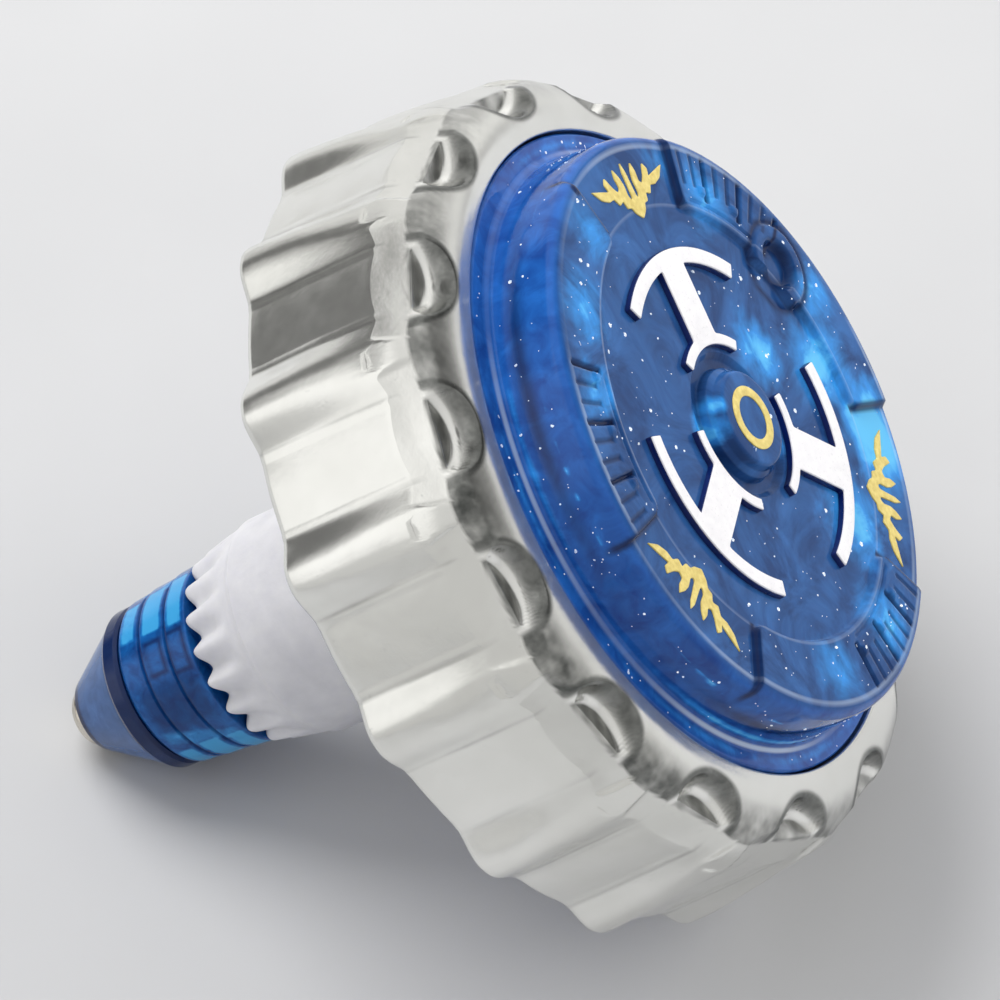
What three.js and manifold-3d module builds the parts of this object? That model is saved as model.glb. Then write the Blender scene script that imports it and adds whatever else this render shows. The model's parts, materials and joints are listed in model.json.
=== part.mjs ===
// Light-up spinning top: a plated fluted flywheel ring round a translucent blue housing that
// holds the lamps, the cells and a centrifugal switch, on a toothed white drive sleeve and a blue
// stem that ends in a free-turning steel tip.
// Units are millimetres, +Z is up along the spin axis, and the origin is the tip's contact point.
// In names, _R is a radius or a distance from the axis, and _Z, _TOP and _BOTTOM are heights.
// Angles are in degrees from +X.
import * as THREE from 'three';
import { mergeVertices } from 'three/addons/utils/BufferGeometryUtils.js';
import Module from 'manifold-3d';

const wasm = await Module();
wasm.setup();

// ---------------------------------------------------------------- shared dimensions
const threeFrom = (first) => [first, first + 120, first + 240];

const FIRST_ANGLE = 90;         // centre of the first flute, tooth and mark
const CUT_OVERRUN = 1;          // how far a cutter runs past the face it opens

const WEB_TOP = 42.6;           // web of the ring, clamped between cover and lower housing
const WEB_BOTTOM = 40.0;
const MARK_ANGLES = threeFrom(FIRST_ANGLE);

const HOUSING_SCREW_ANGLES = threeFrom(31.5);
const HOUSING_SCREW_R = 14.2;
const HOUSING_SCREW_SEAT_Z = 38.0;
const SCREW_POST_R = 2.6;
const BASE_TOP = WEB_TOP - 0.1;

const HUB_BOTTOM = 29.3;        // where the lower housing sits on the sleeve's flange
const HUB_FLOOR = 30.5;         // floor of the cell well
const BOARD_BOTTOM = 41.2;
const BOARD_TOP = 42.2;

const FLANGE_BOTTOM = 26.9;
const FLANGE_SCREW_ANGLES = threeFrom(60);
const FLANGE_SCREW_R = 8.55;
const FLANGE_SCREW_SEAT_Z = FLANGE_BOTTOM + 1.1;
const TOOTH_END = 12.3;         // lower end of the sleeve's teeth
const SLEEVE_WEB_TOP = 26.2;
const STEM_BOTTOM = 6.5;

// ---------------------------------------------------------------- finishes
const plastic = (color, roughness) => ({ color, roughness, metalness: 0 });
const metal = (color, roughness) => ({ color, roughness, metalness: 1 });
const FINISH = {
  plated: metal('#d7d8d4', 0.22),
  cover: plastic('#1c46a8', 0.12),
  white: plastic('#f4f3f6', 0.35),
  gold: { color: '#e6d27c', roughness: 0.35, metalness: 0.6 },
  lowerHousing: plastic('#1f4db4', 0.15),
  board: plastic('#1d6b3a', 0.5),
  chip: plastic('#15161a', 0.5),
  resistor: plastic('#1c1c20', 0.5),
  cell: metal('#c9cbd0', 0.25),
  contact: metal('#cfc6a8', 0.3),
  spring: metal('#c9ccd2', 0.3),
  wire: plastic('#b3262b', 0.5),
  switchPost: metal('#b9a46a', 0.35),
  leaf: metal('#d9c27e', 0.3),
  weight: metal('#a8abb0', 0.3),
  sleeve: plastic('#dfdfe4', 0.45),
  stem: plastic('#2457c0', 0.12),
  nose: plastic('#3c62b8', 0.12),
  bush: metal('#b98f45', 0.35),
  pin: metal('#c3c0b8', 0.25),
  washer: plastic('#2b2b2e', 0.6),
  clip: metal('#8f9298', 0.35),
  screw: metal('#9b9da2', 0.35),
};

// ---------------------------------------------------------------- helpers
const polar = (r, deg) => {
  const angle = THREE.MathUtils.degToRad(deg);
  return [r * Math.cos(angle), r * Math.sin(angle)];
};
const span = (centre, half) => [centre - half, centre + half];
const join = (solids) => solids.reduce((a, b) => a.add(b));
const turn = (body, deg) => body.rotate([0, 0, deg]);
const moveTo = (body, r, deg) => body.translate([...polar(r, deg), 0]);
const turnedCopies = (body, angles) => join(angles.map((deg) => turn(body, deg)));
const movedCopies = (body, r, angles) => join(angles.map((deg) => moveTo(body, r, deg)));

// Manifold solid from a closed geometry: shared vertices, no collapsed triangles, faces out
function solid(geometry) {
  for (const key of Object.keys(geometry.attributes)) {
    if (key !== 'position') geometry.deleteAttribute(key);
  }
  const merged = mergeVertices(geometry, 1e-4);
  const position = merged.attributes.position;
  const source = merged.index.array;
  const triangles = [];
  const corners = [new THREE.Vector3(), new THREE.Vector3(), new THREE.Vector3()];
  let volume = 0;
  for (let i = 0; i < source.length; i += 3) {
    const [a, b, c] = [source[i], source[i + 1], source[i + 2]];
    if (a === b || b === c || a === c) continue;
    triangles.push(a, b, c);
    corners.forEach((corner, k) => corner.fromBufferAttribute(position, source[i + k]));
    volume += corners[0].dot(corners[1].cross(corners[2]));
  }
  if (volume < 0) {
    for (let i = 0; i < triangles.length; i += 3) {
      [triangles[i], triangles[i + 1]] = [triangles[i + 1], triangles[i]];
    }
  }
  return new wasm.Manifold(new wasm.Mesh({
    numProp: 3,
    vertProperties: new Float32Array(position.array),
    triVerts: new Uint32Array(triangles),
  }));
}

// Profile of [radius, z] points; it starts and ends on the axis, or is closed into a ring.
// bend(radius, degrees, z) may move each vertex, returning its new [radius, z].
function lathe(profile, segments, bend) {
  const points = profile.map(([r, z]) => new THREE.Vector2(r, z));
  if (profile[0][0] !== 0 || profile.at(-1)[0] !== 0) points.push(points[0].clone());
  const geometry = new THREE.LatheGeometry(points, segments);
  geometry.rotateX(Math.PI / 2);
  if (bend) {
    const position = geometry.attributes.position;
    for (let i = 0; i < position.count; i++) {
      const x = position.getX(i);
      const y = position.getY(i);
      const deg = (Math.atan2(y, x) * 180) / Math.PI;
      const [r, z] = bend(Math.hypot(x, y), deg, position.getZ(i));
      position.setXYZ(i, ...polar(r, deg), z);
    }
  }
  return solid(geometry);
}

function extrude(points, z0, z1) {
  const shape = new THREE.Shape(points.map(([x, y]) => new THREE.Vector2(x, y)));
  const geometry = new THREE.ExtrudeGeometry(shape, {
    depth: z1 - z0, bevelEnabled: false, steps: 1,
  });
  geometry.translate(0, 0, z0);
  return solid(geometry);
}

// round wire along a curve
function wireAlong(path, radius, steps) {
  const section = new THREE.Shape();
  section.absarc(0, 0, radius, 0, 2 * Math.PI, false);
  return solid(new THREE.ExtrudeGeometry(section, { steps, curveSegments: 3, extrudePath: path }));
}

function cylinder(r, z0, z1, segments) {
  const geometry = new THREE.CylinderGeometry(r, r, z1 - z0, segments);
  geometry.rotateX(Math.PI / 2);
  geometry.translate(0, 0, (z0 + z1) / 2);
  return solid(geometry);
}

function block([x0, x1], [y0, y1], [z0, z1]) {
  const geometry = new THREE.BoxGeometry(x1 - x0, y1 - y0, z1 - z0);
  geometry.translate((x0 + x1) / 2, (y0 + y1) / 2, (z0 + z1) / 2);
  return solid(geometry);
}

// band between two radii, from -half to +half degrees about +X, in steps of about step degrees
function band({ inner, outer, half, step }, z0, z1) {
  const count = Math.max(2, Math.round((2 * half) / step));
  const arc = (r) => Array.from({ length: count + 1 },
    (_, i) => polar(r, -half + (2 * half * i) / count));
  return extrude([...arc(outer), ...arc(inner).reverse()], z0, z1);
}

// half disc whose straight side is tangential at centreR and whose arc bulges inward
function halfDisc(centreR, r, z0, z1) {
  const points = [];
  for (let i = 0; i <= 6; i++) {
    const [x, y] = polar(r, 90 + 30 * i);
    points.push([centreR + x, y]);
  }
  return extrude(points, z0, z1);
}

const group = new THREE.Group();

function part(name, body, finish) {
  if (body.isEmpty()) throw new Error(`${name} is empty`);
  const { vertProperties, triVerts } = body.getMesh();
  const geometry = new THREE.BufferGeometry();
  const positions = new Float32Array(vertProperties);
  geometry.setAttribute('position', new THREE.BufferAttribute(positions, 3));
  geometry.setIndex(new THREE.BufferAttribute(new Uint32Array(triVerts), 1));
  geometry.computeVertexNormals();
  const mesh = new THREE.Mesh(geometry, new THREE.MeshStandardMaterial(finish));
  mesh.name = name;
  group.add(mesh);
}

// three parts named with the suffixes _a, _b and _c; make(i) builds each
function threeParts(name, make, finish) {
  ['a', 'b', 'c'].forEach((suffix, i) => part(`${name}_${suffix}`, make(i), finish));
}

// ---------------------------------------------------------------- flywheel ring
const FLUTES = 15;
const FLUTE_PITCH = 360 / FLUTES;
const RIDGE_R = 25.7;
const FLUTE_R = 24.4;           // on a flute's floor
const FLOOR_HALF = 5.9;         // half width of a flute's floor, degrees
const FLANK = 4.5;              // width of the flank from floor to ridge, degrees
const RING_TOP = 45.0;
const RING_BOTTOM = 31.8;
const MOUTH_R = 20.1;           // mouth the cover sits in
const WEB_R = 17.9;             // inner edge of the web
const LOW_BORE_R = 20.6;        // bore under the web
const POCKET = { centreR: 24.9, radius: 3.4, floorZ: 43.1 };
const PAD = { centreR: FLUTE_R - 0.05, radius: 2.6, bottom: 42.0, top: 43.8 };

function fluteRadius(deg) {
  const turns = (deg - FIRST_ANGLE) / FLUTE_PITCH;
  const offset = Math.abs(turns - Math.round(turns)) * FLUTE_PITCH;   // from a flute's centre
  const t = THREE.MathUtils.clamp((offset - FLOOR_HALF) / FLANK, 0, 1);
  return FLUTE_R + (RIDGE_R - FLUTE_R) * t * t * (3 - 2 * t);
}

// flutes are full depth on the rim, shallower at the shoulder and absent further in
function flutedPoint(r, deg, z) {
  let depth = 0;
  if (r > 24.5) depth = 0.75;
  if (r > 25.2) depth = 1;
  return [r - depth * (RIDGE_R - fluteRadius(deg)), z];
}

function flywheelRing() {
  const body = lathe([
    [0, RING_TOP], [22.0, RING_TOP], [23.6, 44.3], [24.9, 43.0], [RIDGE_R, 41.4],
    [RIDGE_R, 32.2], [25.4, RING_BOTTOM], [0, RING_BOTTOM],
  ], 120, flutedPoint);
  const bore = lathe([
    [0, RING_TOP + CUT_OVERRUN], [MOUTH_R, RING_TOP + CUT_OVERRUN], [MOUTH_R, WEB_TOP],
    [WEB_R, WEB_TOP], [WEB_R, WEB_BOTTOM], [LOW_BORE_R, WEB_BOTTOM], [LOW_BORE_R, 35.0],
    [21.4, 33.6], [22.2, RING_BOTTOM], [22.6, RING_BOTTOM - CUT_OVERRUN],
    [0, RING_BOTTOM - CUT_OVERRUN],
  ], 48);
  const angles = Array.from({ length: FLUTES }, (_, i) => FIRST_ANGLE + i * FLUTE_PITCH);
  const pocket = halfDisc(POCKET.centreR, POCKET.radius, POCKET.floorZ, RING_TOP + CUT_OVERRUN);
  const pad = halfDisc(PAD.centreR, PAD.radius, PAD.bottom, PAD.top);
  return body.subtract(bore)
    .subtract(turnedCopies(pocket, angles))
    .add(turnedCopies(pad, angles));
}

part('flywheel_ring', flywheelRing(), FINISH.plated);

// ---------------------------------------------------------------- top cover
const RIM_R = 19.9;             // flange that sits in the ring's mouth
const RIM_TOP = 44.9;
const DRUM_R = 18.4;
const FACE_R = 17.3;
const FACE_Z = 49.0;
const RAISE_Z = 49.35;          // top of the raised pads under the marks and on the sectors
const RAISE_ROOT_Z = FACE_Z - 0.3;
const CAVITY_R = 16.6;
const CAVITY_TOP = 47.6;
const WELL_R = 4.5;             // shallow groove round the central boss
const WELL_Z = 48.6;
const BOSS_R = 3.6;
const BOSS_TOP_R = 3.1;
const BOSS_TOP = 50.1;
const SECTOR = { inner: 13.6, outer: FACE_R, half: 39.5, step: 7.5 };
const SECTOR_ANGLES = threeFrom(30);
const MARK_OUTER_ARC = { inner: 9.95, outer: 11.0, half: 38.0, step: 6 };
const MARK_INNER_ARC = { inner: 4.85, outer: 5.6, half: 37.0, step: 9 };
const MARK_STEM_WIDTH = 2.85;
const MARK_THICKNESS = 0.1;
const GOLD_THICKNESS = 0.08;
const EMBLEM_R = 15.0;

// two concentric arcs joined by a radial stem along +X
function markShape(z0, z1) {
  const stemX = [MARK_INNER_ARC.inner + 0.2, MARK_OUTER_ARC.outer - 0.3];
  return join([
    band(MARK_OUTER_ARC, z0, z1),
    band(MARK_INNER_ARC, z0, z1),
    block(stemX, span(0, MARK_STEM_WIDTH / 2), [z0, z1]),
  ]);
}

function topCover() {
  const shell = lathe([
    [0, CAVITY_TOP], [CAVITY_R - 0.6, CAVITY_TOP], [CAVITY_R, CAVITY_TOP - 0.6],
    [CAVITY_R, WEB_TOP], [RIM_R, WEB_TOP], [RIM_R, RIM_TOP - 0.25], [RIM_R - 0.25, RIM_TOP],
    [DRUM_R + 0.15, RIM_TOP], [DRUM_R, 45.2], [DRUM_R - 0.2, 47.6], [DRUM_R - 0.5, 48.5],
    [FACE_R, FACE_Z], [WELL_R, FACE_Z], [WELL_R - 0.2, WELL_Z], [BOSS_R, WELL_Z],
    [BOSS_R, 49.4], [BOSS_TOP_R + 0.2, 49.6], [BOSS_TOP_R, BOSS_TOP - 0.2],
    [BOSS_TOP_R - 0.2, BOSS_TOP], [0, BOSS_TOP],
  ], 48);
  const sector = band(SECTOR, RAISE_ROOT_Z, RAISE_Z);
  const post = cylinder(SCREW_POST_R, WEB_TOP, CAVITY_TOP + 0.3, 14);
  const screwHole = cylinder(1.05, WEB_TOP - CUT_OVERRUN, CAVITY_TOP - 0.1, 12);
  return shell
    .add(turnedCopies(sector, SECTOR_ANGLES))
    .add(turnedCopies(markShape(RAISE_ROOT_Z, RAISE_Z), MARK_ANGLES))
    .add(movedCopies(post, HOUSING_SCREW_R, HOUSING_SCREW_ANGLES))
    .subtract(movedCopies(screwHole, HOUSING_SCREW_R, HOUSING_SCREW_ANGLES));
}

// flame with two swept wings
function emblem() {
  // one half of the outline: [sideways, outward] from the emblem's centre
  const half = [
    [0, 1.9], [0.75, 0.75], [1.5, 1.45], [2.0, 0.85], [3.5, 1.55], [3.2, 0.85],
    [4.6, 0.55], [3.5, -0.1], [2.4, -0.35], [2.1, -1.1], [1.1, -0.75], [0, -1.85],
  ];
  const mirrored = half.slice(1, -1).reverse().map(([side, out]) => [-side, out]);
  const outline = [...half, ...mirrored].map(([side, out]) => [EMBLEM_R + out, -side]);
  return extrude(outline, FACE_Z, FACE_Z + GOLD_THICKNESS);
}

function centreRing() {
  const top = BOSS_TOP + GOLD_THICKNESS;
  return lathe([[1.25, BOSS_TOP], [1.9, BOSS_TOP], [1.9, top], [1.25, top]], 24);
}

part('top_cover', topCover(), FINISH.cover);
const whiteMark = markShape(RAISE_Z, RAISE_Z + MARK_THICKNESS);
threeParts('white_mark', (i) => turn(whiteMark, MARK_ANGLES[i]), FINISH.white);
threeParts('gold_emblem', (i) => turn(emblem(), MARK_ANGLES[i]), FINISH.gold);
part('gold_centre_ring', centreRing(), FINISH.gold);

// ---------------------------------------------------------------- lower housing
const HUB_R = 10.35;
const CELL_WELL_R = 6.1;
const CELL_TUBE_R = 7.3;        // outside of the tube round the cells
const CELL_TUBE_TOP = 40.0;

function lowerHousing() {
  const shell = lathe([
    [0, HUB_BOTTOM], [HUB_R - 0.3, HUB_BOTTOM], [HUB_R, HUB_BOTTOM + 0.3], [HUB_R, 33.2],
    [16.6, 34.6], [17.6, 35.6], [17.6, 37.4], [20.3, 37.4], [20.3, WEB_BOTTOM],
    [17.6, WEB_BOTTOM], [17.6, BASE_TOP], [16.0, BASE_TOP], [16.0, 36.8], [15.2, 36.0],
    [10.0, 35.0], [CELL_TUBE_R, 35.0], [CELL_TUBE_R, CELL_TUBE_TOP],
    [CELL_WELL_R, CELL_TUBE_TOP], [CELL_WELL_R, HUB_FLOOR], [0, HUB_FLOOR],
  ], 40);
  const atScrews = (body) => movedCopies(body, HOUSING_SCREW_R, HOUSING_SCREW_ANGLES);
  const boardPost = cylinder(1.1, 34.6, BOARD_BOTTOM, 10);
  const flangeHole = cylinder(0.85, HUB_BOTTOM - CUT_OVERRUN, 33.6, 10);
  // starts a hair above the floor so that it leaves the floor whole
  const wireSlot = block([5.5, 7.9], span(0, 0.7), [HUB_FLOOR + 0.001, 40.5]);
  return shell
    .add(atScrews(cylinder(SCREW_POST_R, 36.0, BASE_TOP, 14)))
    .subtract(atScrews(cylinder(1.15, 30, WEB_TOP + CUT_OVERRUN, 12)))
    .subtract(atScrews(cylinder(2.2, 30, HOUSING_SCREW_SEAT_Z, 14)))
    .add(movedCopies(boardPost, 10.0, MARK_ANGLES))
    .subtract(movedCopies(flangeHole, FLANGE_SCREW_R, FLANGE_SCREW_ANGLES))
    .subtract(wireSlot);
}

part('lower_housing', lowerHousing(), FINISH.lowerHousing);

// ---------------------------------------------------------------- electrics
const BOARD_R = 11.3;
const BOARD_CUT_Z = [40, 43];
const WIRE_HOLE_X = 9.2;
const LED_R = 8.6;              // distance of each lamp from the axis
const LEDS = [['led_red', '#d8564a'], ['led_green', '#58c46a'], ['led_blue', '#4b7fe0']];
const CELL_R = 5.8;
const CELL_HEIGHT = 3.1;
const CELLS_BOTTOM = 31.6;
const PLATE_Z = [40.92, BOARD_BOTTOM - 0.02];
const SPRING = { turns: 2, bottomR: 4.2, topR: 2.6, bottomZ: 30.78, rise: 0.54, wireR: 0.25 };

function circuitBoard() {
  const keyNotch = block(span(0, 1.2), [-12, -10.6], BOARD_CUT_Z);
  const wireHole = cylinder(0.6, ...BOARD_CUT_Z, 12).translate([WIRE_HOLE_X, 0, 0]);
  return cylinder(BOARD_R, BOARD_BOTTOM, BOARD_TOP, 36).subtract(keyNotch).subtract(wireHole);
}

function led() {
  return lathe([
    [0, BOARD_TOP], [1.9, BOARD_TOP], [1.9, BOARD_TOP + 0.9], [1.5, BOARD_TOP + 0.9],
    [1.5, 45.0], [1.3, 45.75], [0.75, 46.3], [0, 46.5],
  ], 14);
}

function driverChip() {
  const blob = lathe([
    [0, BOARD_TOP], [2.4, BOARD_TOP], [2.2, BOARD_TOP + 0.5], [1.4, BOARD_TOP + 0.95],
    [0, BOARD_TOP + 1.1],
  ], 16);
  return moveTo(blob, 4.6, 150);
}

function buttonCell(i) {
  const z = CELLS_BOTTOM + i * CELL_HEIGHT;
  return lathe([
    [0, z], [4.7, z], [4.9, z + 0.35], [CELL_R - 0.25, z + 0.35], [CELL_R, z + 0.6],
    [CELL_R, z + CELL_HEIGHT - 0.2], [CELL_R - 0.2, z + CELL_HEIGHT], [0, z + CELL_HEIGHT],
  ], 24);
}

// flat coil under the cells, narrowing upwards
class SpringPath extends THREE.Curve {
  getPoint(t, target = new THREE.Vector3()) {
    const angle = t * SPRING.turns * 2 * Math.PI;
    const r = SPRING.bottomR + (SPRING.topR - SPRING.bottomR) * t;
    return target.set(r * Math.cos(angle), r * Math.sin(angle), SPRING.bottomZ + SPRING.rise * t);
  }
}

// insulated lead from beside the spring up through the tube's slot to the board
function batteryWire() {
  // [x, z] at y = 0
  const stations = [
    [6.6, 31.0], [6.75, 34], [6.9, 38], [8.2, 39.8], [WIRE_HOLE_X, 40.9], [WIRE_HOLE_X, 41.9],
  ];
  const path = new THREE.CatmullRomCurve3(stations.map(([x, z]) => new THREE.Vector3(x, 0, z)));
  return wireAlong(path, 0.38, 12);
}

part('circuit_board', circuitBoard(), FINISH.board);
LEDS.forEach(([name, color], i) => {
  part(name, moveTo(led(), LED_R, MARK_ANGLES[i]), plastic(color, 0.15));
});
part('driver_chip', driverChip(), FINISH.chip);
part('lamp_resistor', block(span(0, 1.6), [-7.8, -6.2], [BOARD_TOP, BOARD_TOP + 0.6]),
  FINISH.resistor);
threeParts('button_cell', buttonCell, FINISH.cell);
part('battery_plate', cylinder(4.6, ...PLATE_Z, 20).add(block([3.5, 8.0], [2.0, 4.0], PLATE_Z)),
  FINISH.contact);
part('battery_spring', wireAlong(new SpringPath(), SPRING.wireR, 30), FINISH.spring);
part('battery_wire', batteryWire(), FINISH.wire);

// ---------------------------------------------------------------- centrifugal switch
// Built with +X as the throw direction and the leaf along Y, then turned into place.
const THROW_ANGLE = 30;
const LEAF_X = 6.6;
const LEAF_SPAN = span(LEAF_X, 0.07);
const WEIGHT_Y = -2.2;
const CONTACT_X = 9.2;
const aboveBoard = (low, high) => [BOARD_TOP + low, BOARD_TOP + high];

function switchPost() {
  const slit = block(span(LEAF_X, 0.22), [3.9, 4.9], aboveBoard(0.4, 3.2));
  return block(span(LEAF_X, 0.9), [4.2, 5.6], aboveBoard(0, 2.9)).subtract(slit);
}

function switchWeight() {
  const slot = block(LEAF_SPAN, [WEIGHT_Y, 0], aboveBoard(0.6, 3.2));
  return cylinder(1.1, ...aboveBoard(0.35, 2.85), 14)
    .translate([LEAF_X, WEIGHT_Y, 0])
    .subtract(slot);
}

function switchContact() {
  const foot = block(span(CONTACT_X, 0.45), span(WEIGHT_Y, 0.7), aboveBoard(0, 0.3));
  return cylinder(0.5, ...aboveBoard(0, 2.9), 10).translate([CONTACT_X, WEIGHT_Y, 0]).add(foot);
}

const switchLeaf = block(LEAF_SPAN, [WEIGHT_Y, 4.7], aboveBoard(0.6, 2.6));
part('switch_post', turn(switchPost(), THROW_ANGLE), FINISH.switchPost);
part('switch_leaf', turn(switchLeaf, THROW_ANGLE), FINISH.leaf);
part('switch_weight', turn(switchWeight(), THROW_ANGLE), FINISH.weight);
part('switch_contact', turn(switchContact(), THROW_ANGLE), FINISH.contact);

// ---------------------------------------------------------------- drive sleeve
const TEETH = 18;
const TOOTH_FADE_Z = 15.8;      // where the teeth run out
const TOOTH_DEPTH = 0.75;
const TOOTH_NOTCH = 0.9;        // rise of the end face in each gap
const SLEEVE_R = 6.9;
const SLEEVE_STEP_Z = 16.2;
const SLEEVE_BORE_R = 4.7;
const SLEEVE_WEB_BOTTOM = 24.1;
const SLEEVE_WEB_HOLE_R = 1.4;
const FLANGE_R = 10.2;

// cuts the teeth: gap is 0 on a tooth's crest and 1 in the middle of a gap
function toothedPoint(r, deg, z) {
  if (r < 5.5 || z > TOOTH_FADE_Z - 0.1) return [r, z];
  const phase = THREE.MathUtils.euclideanModulo((deg - FIRST_ANGLE) / (360 / TEETH), 1);
  const gap = 1 - Math.abs(2 * phase - 1);
  const fade = (TOOTH_FADE_Z - z) / (TOOTH_FADE_Z - TOOTH_END);
  const rise = z < TOOTH_END + 0.05 ? TOOTH_NOTCH * gap : 0;
  return [r - TOOTH_DEPTH * gap * fade, z + rise];
}

function driveSleeve() {
  const toothed = lathe([
    [0, TOOTH_END], [4.0, TOOTH_END], [6.0, TOOTH_END], [6.25, 13.4], [6.5, 14.6],
    [6.7, TOOTH_FADE_Z], [SLEEVE_R, SLEEVE_STEP_Z], [0, SLEEVE_STEP_Z],
  ], 72, toothedPoint);
  const barrel = lathe([
    [0, SLEEVE_STEP_Z - 0.2], [SLEEVE_R - 0.3, SLEEVE_STEP_Z - 0.2], [SLEEVE_R, SLEEVE_STEP_Z],
    [SLEEVE_R, FLANGE_BOTTOM - 0.4], [SLEEVE_R + 0.4, FLANGE_BOTTOM],
    [FLANGE_R - 0.15, FLANGE_BOTTOM], [FLANGE_R, FLANGE_BOTTOM + 0.15], [FLANGE_R, HUB_BOTTOM],
    [0, HUB_BOTTOM],
  ], 36);
  const above = HUB_BOTTOM + CUT_OVERRUN;
  const bore = lathe([
    [0, above], [SLEEVE_BORE_R, above], [SLEEVE_BORE_R, SLEEVE_WEB_TOP],
    [SLEEVE_WEB_HOLE_R, SLEEVE_WEB_TOP], [SLEEVE_WEB_HOLE_R, SLEEVE_WEB_BOTTOM],
    [SLEEVE_BORE_R, SLEEVE_WEB_BOTTOM], [SLEEVE_BORE_R, TOOTH_END - CUT_OVERRUN],
    [0, TOOTH_END - CUT_OVERRUN],
  ], 28);
  const below = FLANGE_BOTTOM - CUT_OVERRUN;
  const atScrews = (body) => movedCopies(body, FLANGE_SCREW_R, FLANGE_SCREW_ANGLES);
  return toothed.add(barrel).subtract(bore)
    .subtract(atScrews(cylinder(0.95, below, above, 10)))
    .subtract(atScrews(cylinder(1.5, below, FLANGE_SCREW_SEAT_Z, 12)));
}

part('drive_sleeve', driveSleeve(), FINISH.sleeve);

// ---------------------------------------------------------------- stem and tip
const STEM_R = 5.25;            // at the lower end
const STEM_TOP_R = 5.85;
const STEM_SHOULDER_Z = TOOTH_END - 0.05;
const NOSE_BOTTOM = 1.0;
const NOSE_R = 5.1;
const NOSE_TOP = STEM_BOTTOM - 0.1;
const TIP_R = 2.0;
const SHAFT_R = 1.0;

// rectangular section turned into a ring
const tube = (r0, r1, z0, z1, segments) => lathe([[r0, z0], [r1, z0], [r1, z1], [r0, z1]], segments);

part('stem_housing', lathe([
  [4.0, STEM_BOTTOM], [STEM_R - 0.25, STEM_BOTTOM], [STEM_R, STEM_BOTTOM + 0.25],
  [STEM_R + 0.1, 8.3], [STEM_R + 0.22, 8.5], [STEM_R + 0.32, 10.4], [STEM_R + 0.45, 10.6],
  [STEM_TOP_R, STEM_SHOULDER_Z], [4.55, STEM_SHOULDER_Z], [4.55, 24.0], [1.3, 24.0],
  [1.3, 15.0], [0, 14.6], [0, 11.6], [3.0, 11.2], [4.0, 10.2],
], 28), FINISH.stem);
part('nose_cone', lathe([
  [2.2, NOSE_BOTTOM], [2.35, NOSE_BOTTOM], [NOSE_R - 0.15, 5.3], [NOSE_R, 5.6],
  [NOSE_R, NOSE_TOP], [3.9, NOSE_TOP], [3.9, 9.6], [2.1, 9.6], [2.1, 7.5], [1.83, 7.5],
  [1.83, 2.1], [2.2, 2.1],
], 28), FINISH.nose);
part('tip_bush', tube(1.1, 1.8, 2.1, 7.5, 24), FINISH.bush);
part('tip_pin', lathe([
  [0, 0], [1.1, 0], [1.7, 0.2], [TIP_R, 0.6], [TIP_R, 1.7], [SHAFT_R, 1.7], [SHAFT_R, 7.95],
  [0.7, 7.95], [0.7, 8.4], [SHAFT_R, 8.4], [SHAFT_R, 9.0], [0.8, 9.2], [0, 9.2],
], 24), FINISH.pin);
part('tip_washer', tube(1.1, 1.95, 1.75, 2.05, 20), FINISH.washer);
const clipGap = block([0.2, 2.5], span(0, 0.45), [7.5, 9]);
part('retaining_clip', tube(0.75, 1.75, 8.0, 8.35, 20).subtract(clipGap), FINISH.clip);

// ---------------------------------------------------------------- screws
// self-tapping screw pointing up, with a recess in the head; seatZ is the head's upper side
function screw({ headR, headHeight, shankR, length }, seatZ) {
  const headZ = seatZ - headHeight;
  const recessR = headR * 0.35;
  return lathe([
    [0, headZ + 0.5], [recessR, headZ + 0.5], [recessR, headZ], [headR * 0.8, headZ],
    [headR, seatZ - headHeight * 0.55], [headR, seatZ], [shankR, seatZ],
    [shankR, seatZ + length - shankR * 1.4], [0, seatZ + length],
  ], 10);
}

const housingScrew = screw({ headR: 1.9, headHeight: 1.4, shankR: 1.0, length: 8.6 },
  HOUSING_SCREW_SEAT_Z);
const flangeScrew = screw({ headR: 1.35, headHeight: 0.95, shankR: 0.8, length: 5.2 },
  FLANGE_SCREW_SEAT_Z);
threeParts('housing_screw',
  (i) => moveTo(housingScrew, HOUSING_SCREW_R, HOUSING_SCREW_ANGLES[i]), FINISH.screw);
threeParts('flange_screw',
  (i) => moveTo(flangeScrew, FLANGE_SCREW_R, FLANGE_SCREW_ANGLES[i]), FINISH.screw);
// points down, with its head on the sleeve's web
part('stem_screw', lathe([
  [0, 15.2], [1.2, 16.8], [1.2, SLEEVE_WEB_TOP], [2.4, SLEEVE_WEB_TOP], [2.4, 27.1],
  [1.9, 27.8], [0.8, 27.8], [0.8, 27.2], [0, 27.2],
], 14), FINISH.screw);

export default group;
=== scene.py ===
import bpy
import json
import math
import numpy as np
from mathutils import Matrix, Vector
from mathutils.geometry import tessellate_polygon


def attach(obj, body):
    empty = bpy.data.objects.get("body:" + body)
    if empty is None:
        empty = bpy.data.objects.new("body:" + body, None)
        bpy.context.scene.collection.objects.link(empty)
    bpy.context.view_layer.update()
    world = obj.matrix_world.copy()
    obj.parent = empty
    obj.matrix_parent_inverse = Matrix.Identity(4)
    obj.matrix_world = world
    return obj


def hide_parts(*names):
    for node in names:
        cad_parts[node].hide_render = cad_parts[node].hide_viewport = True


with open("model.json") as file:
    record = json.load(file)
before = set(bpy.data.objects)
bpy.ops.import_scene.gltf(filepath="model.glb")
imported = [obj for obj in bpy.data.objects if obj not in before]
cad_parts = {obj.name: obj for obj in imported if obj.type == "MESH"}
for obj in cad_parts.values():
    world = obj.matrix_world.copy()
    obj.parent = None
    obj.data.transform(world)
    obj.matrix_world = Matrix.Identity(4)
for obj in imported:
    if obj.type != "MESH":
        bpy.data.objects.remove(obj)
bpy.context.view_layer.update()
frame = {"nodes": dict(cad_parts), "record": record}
MM = 0.001
TAU = math.tau


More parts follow.
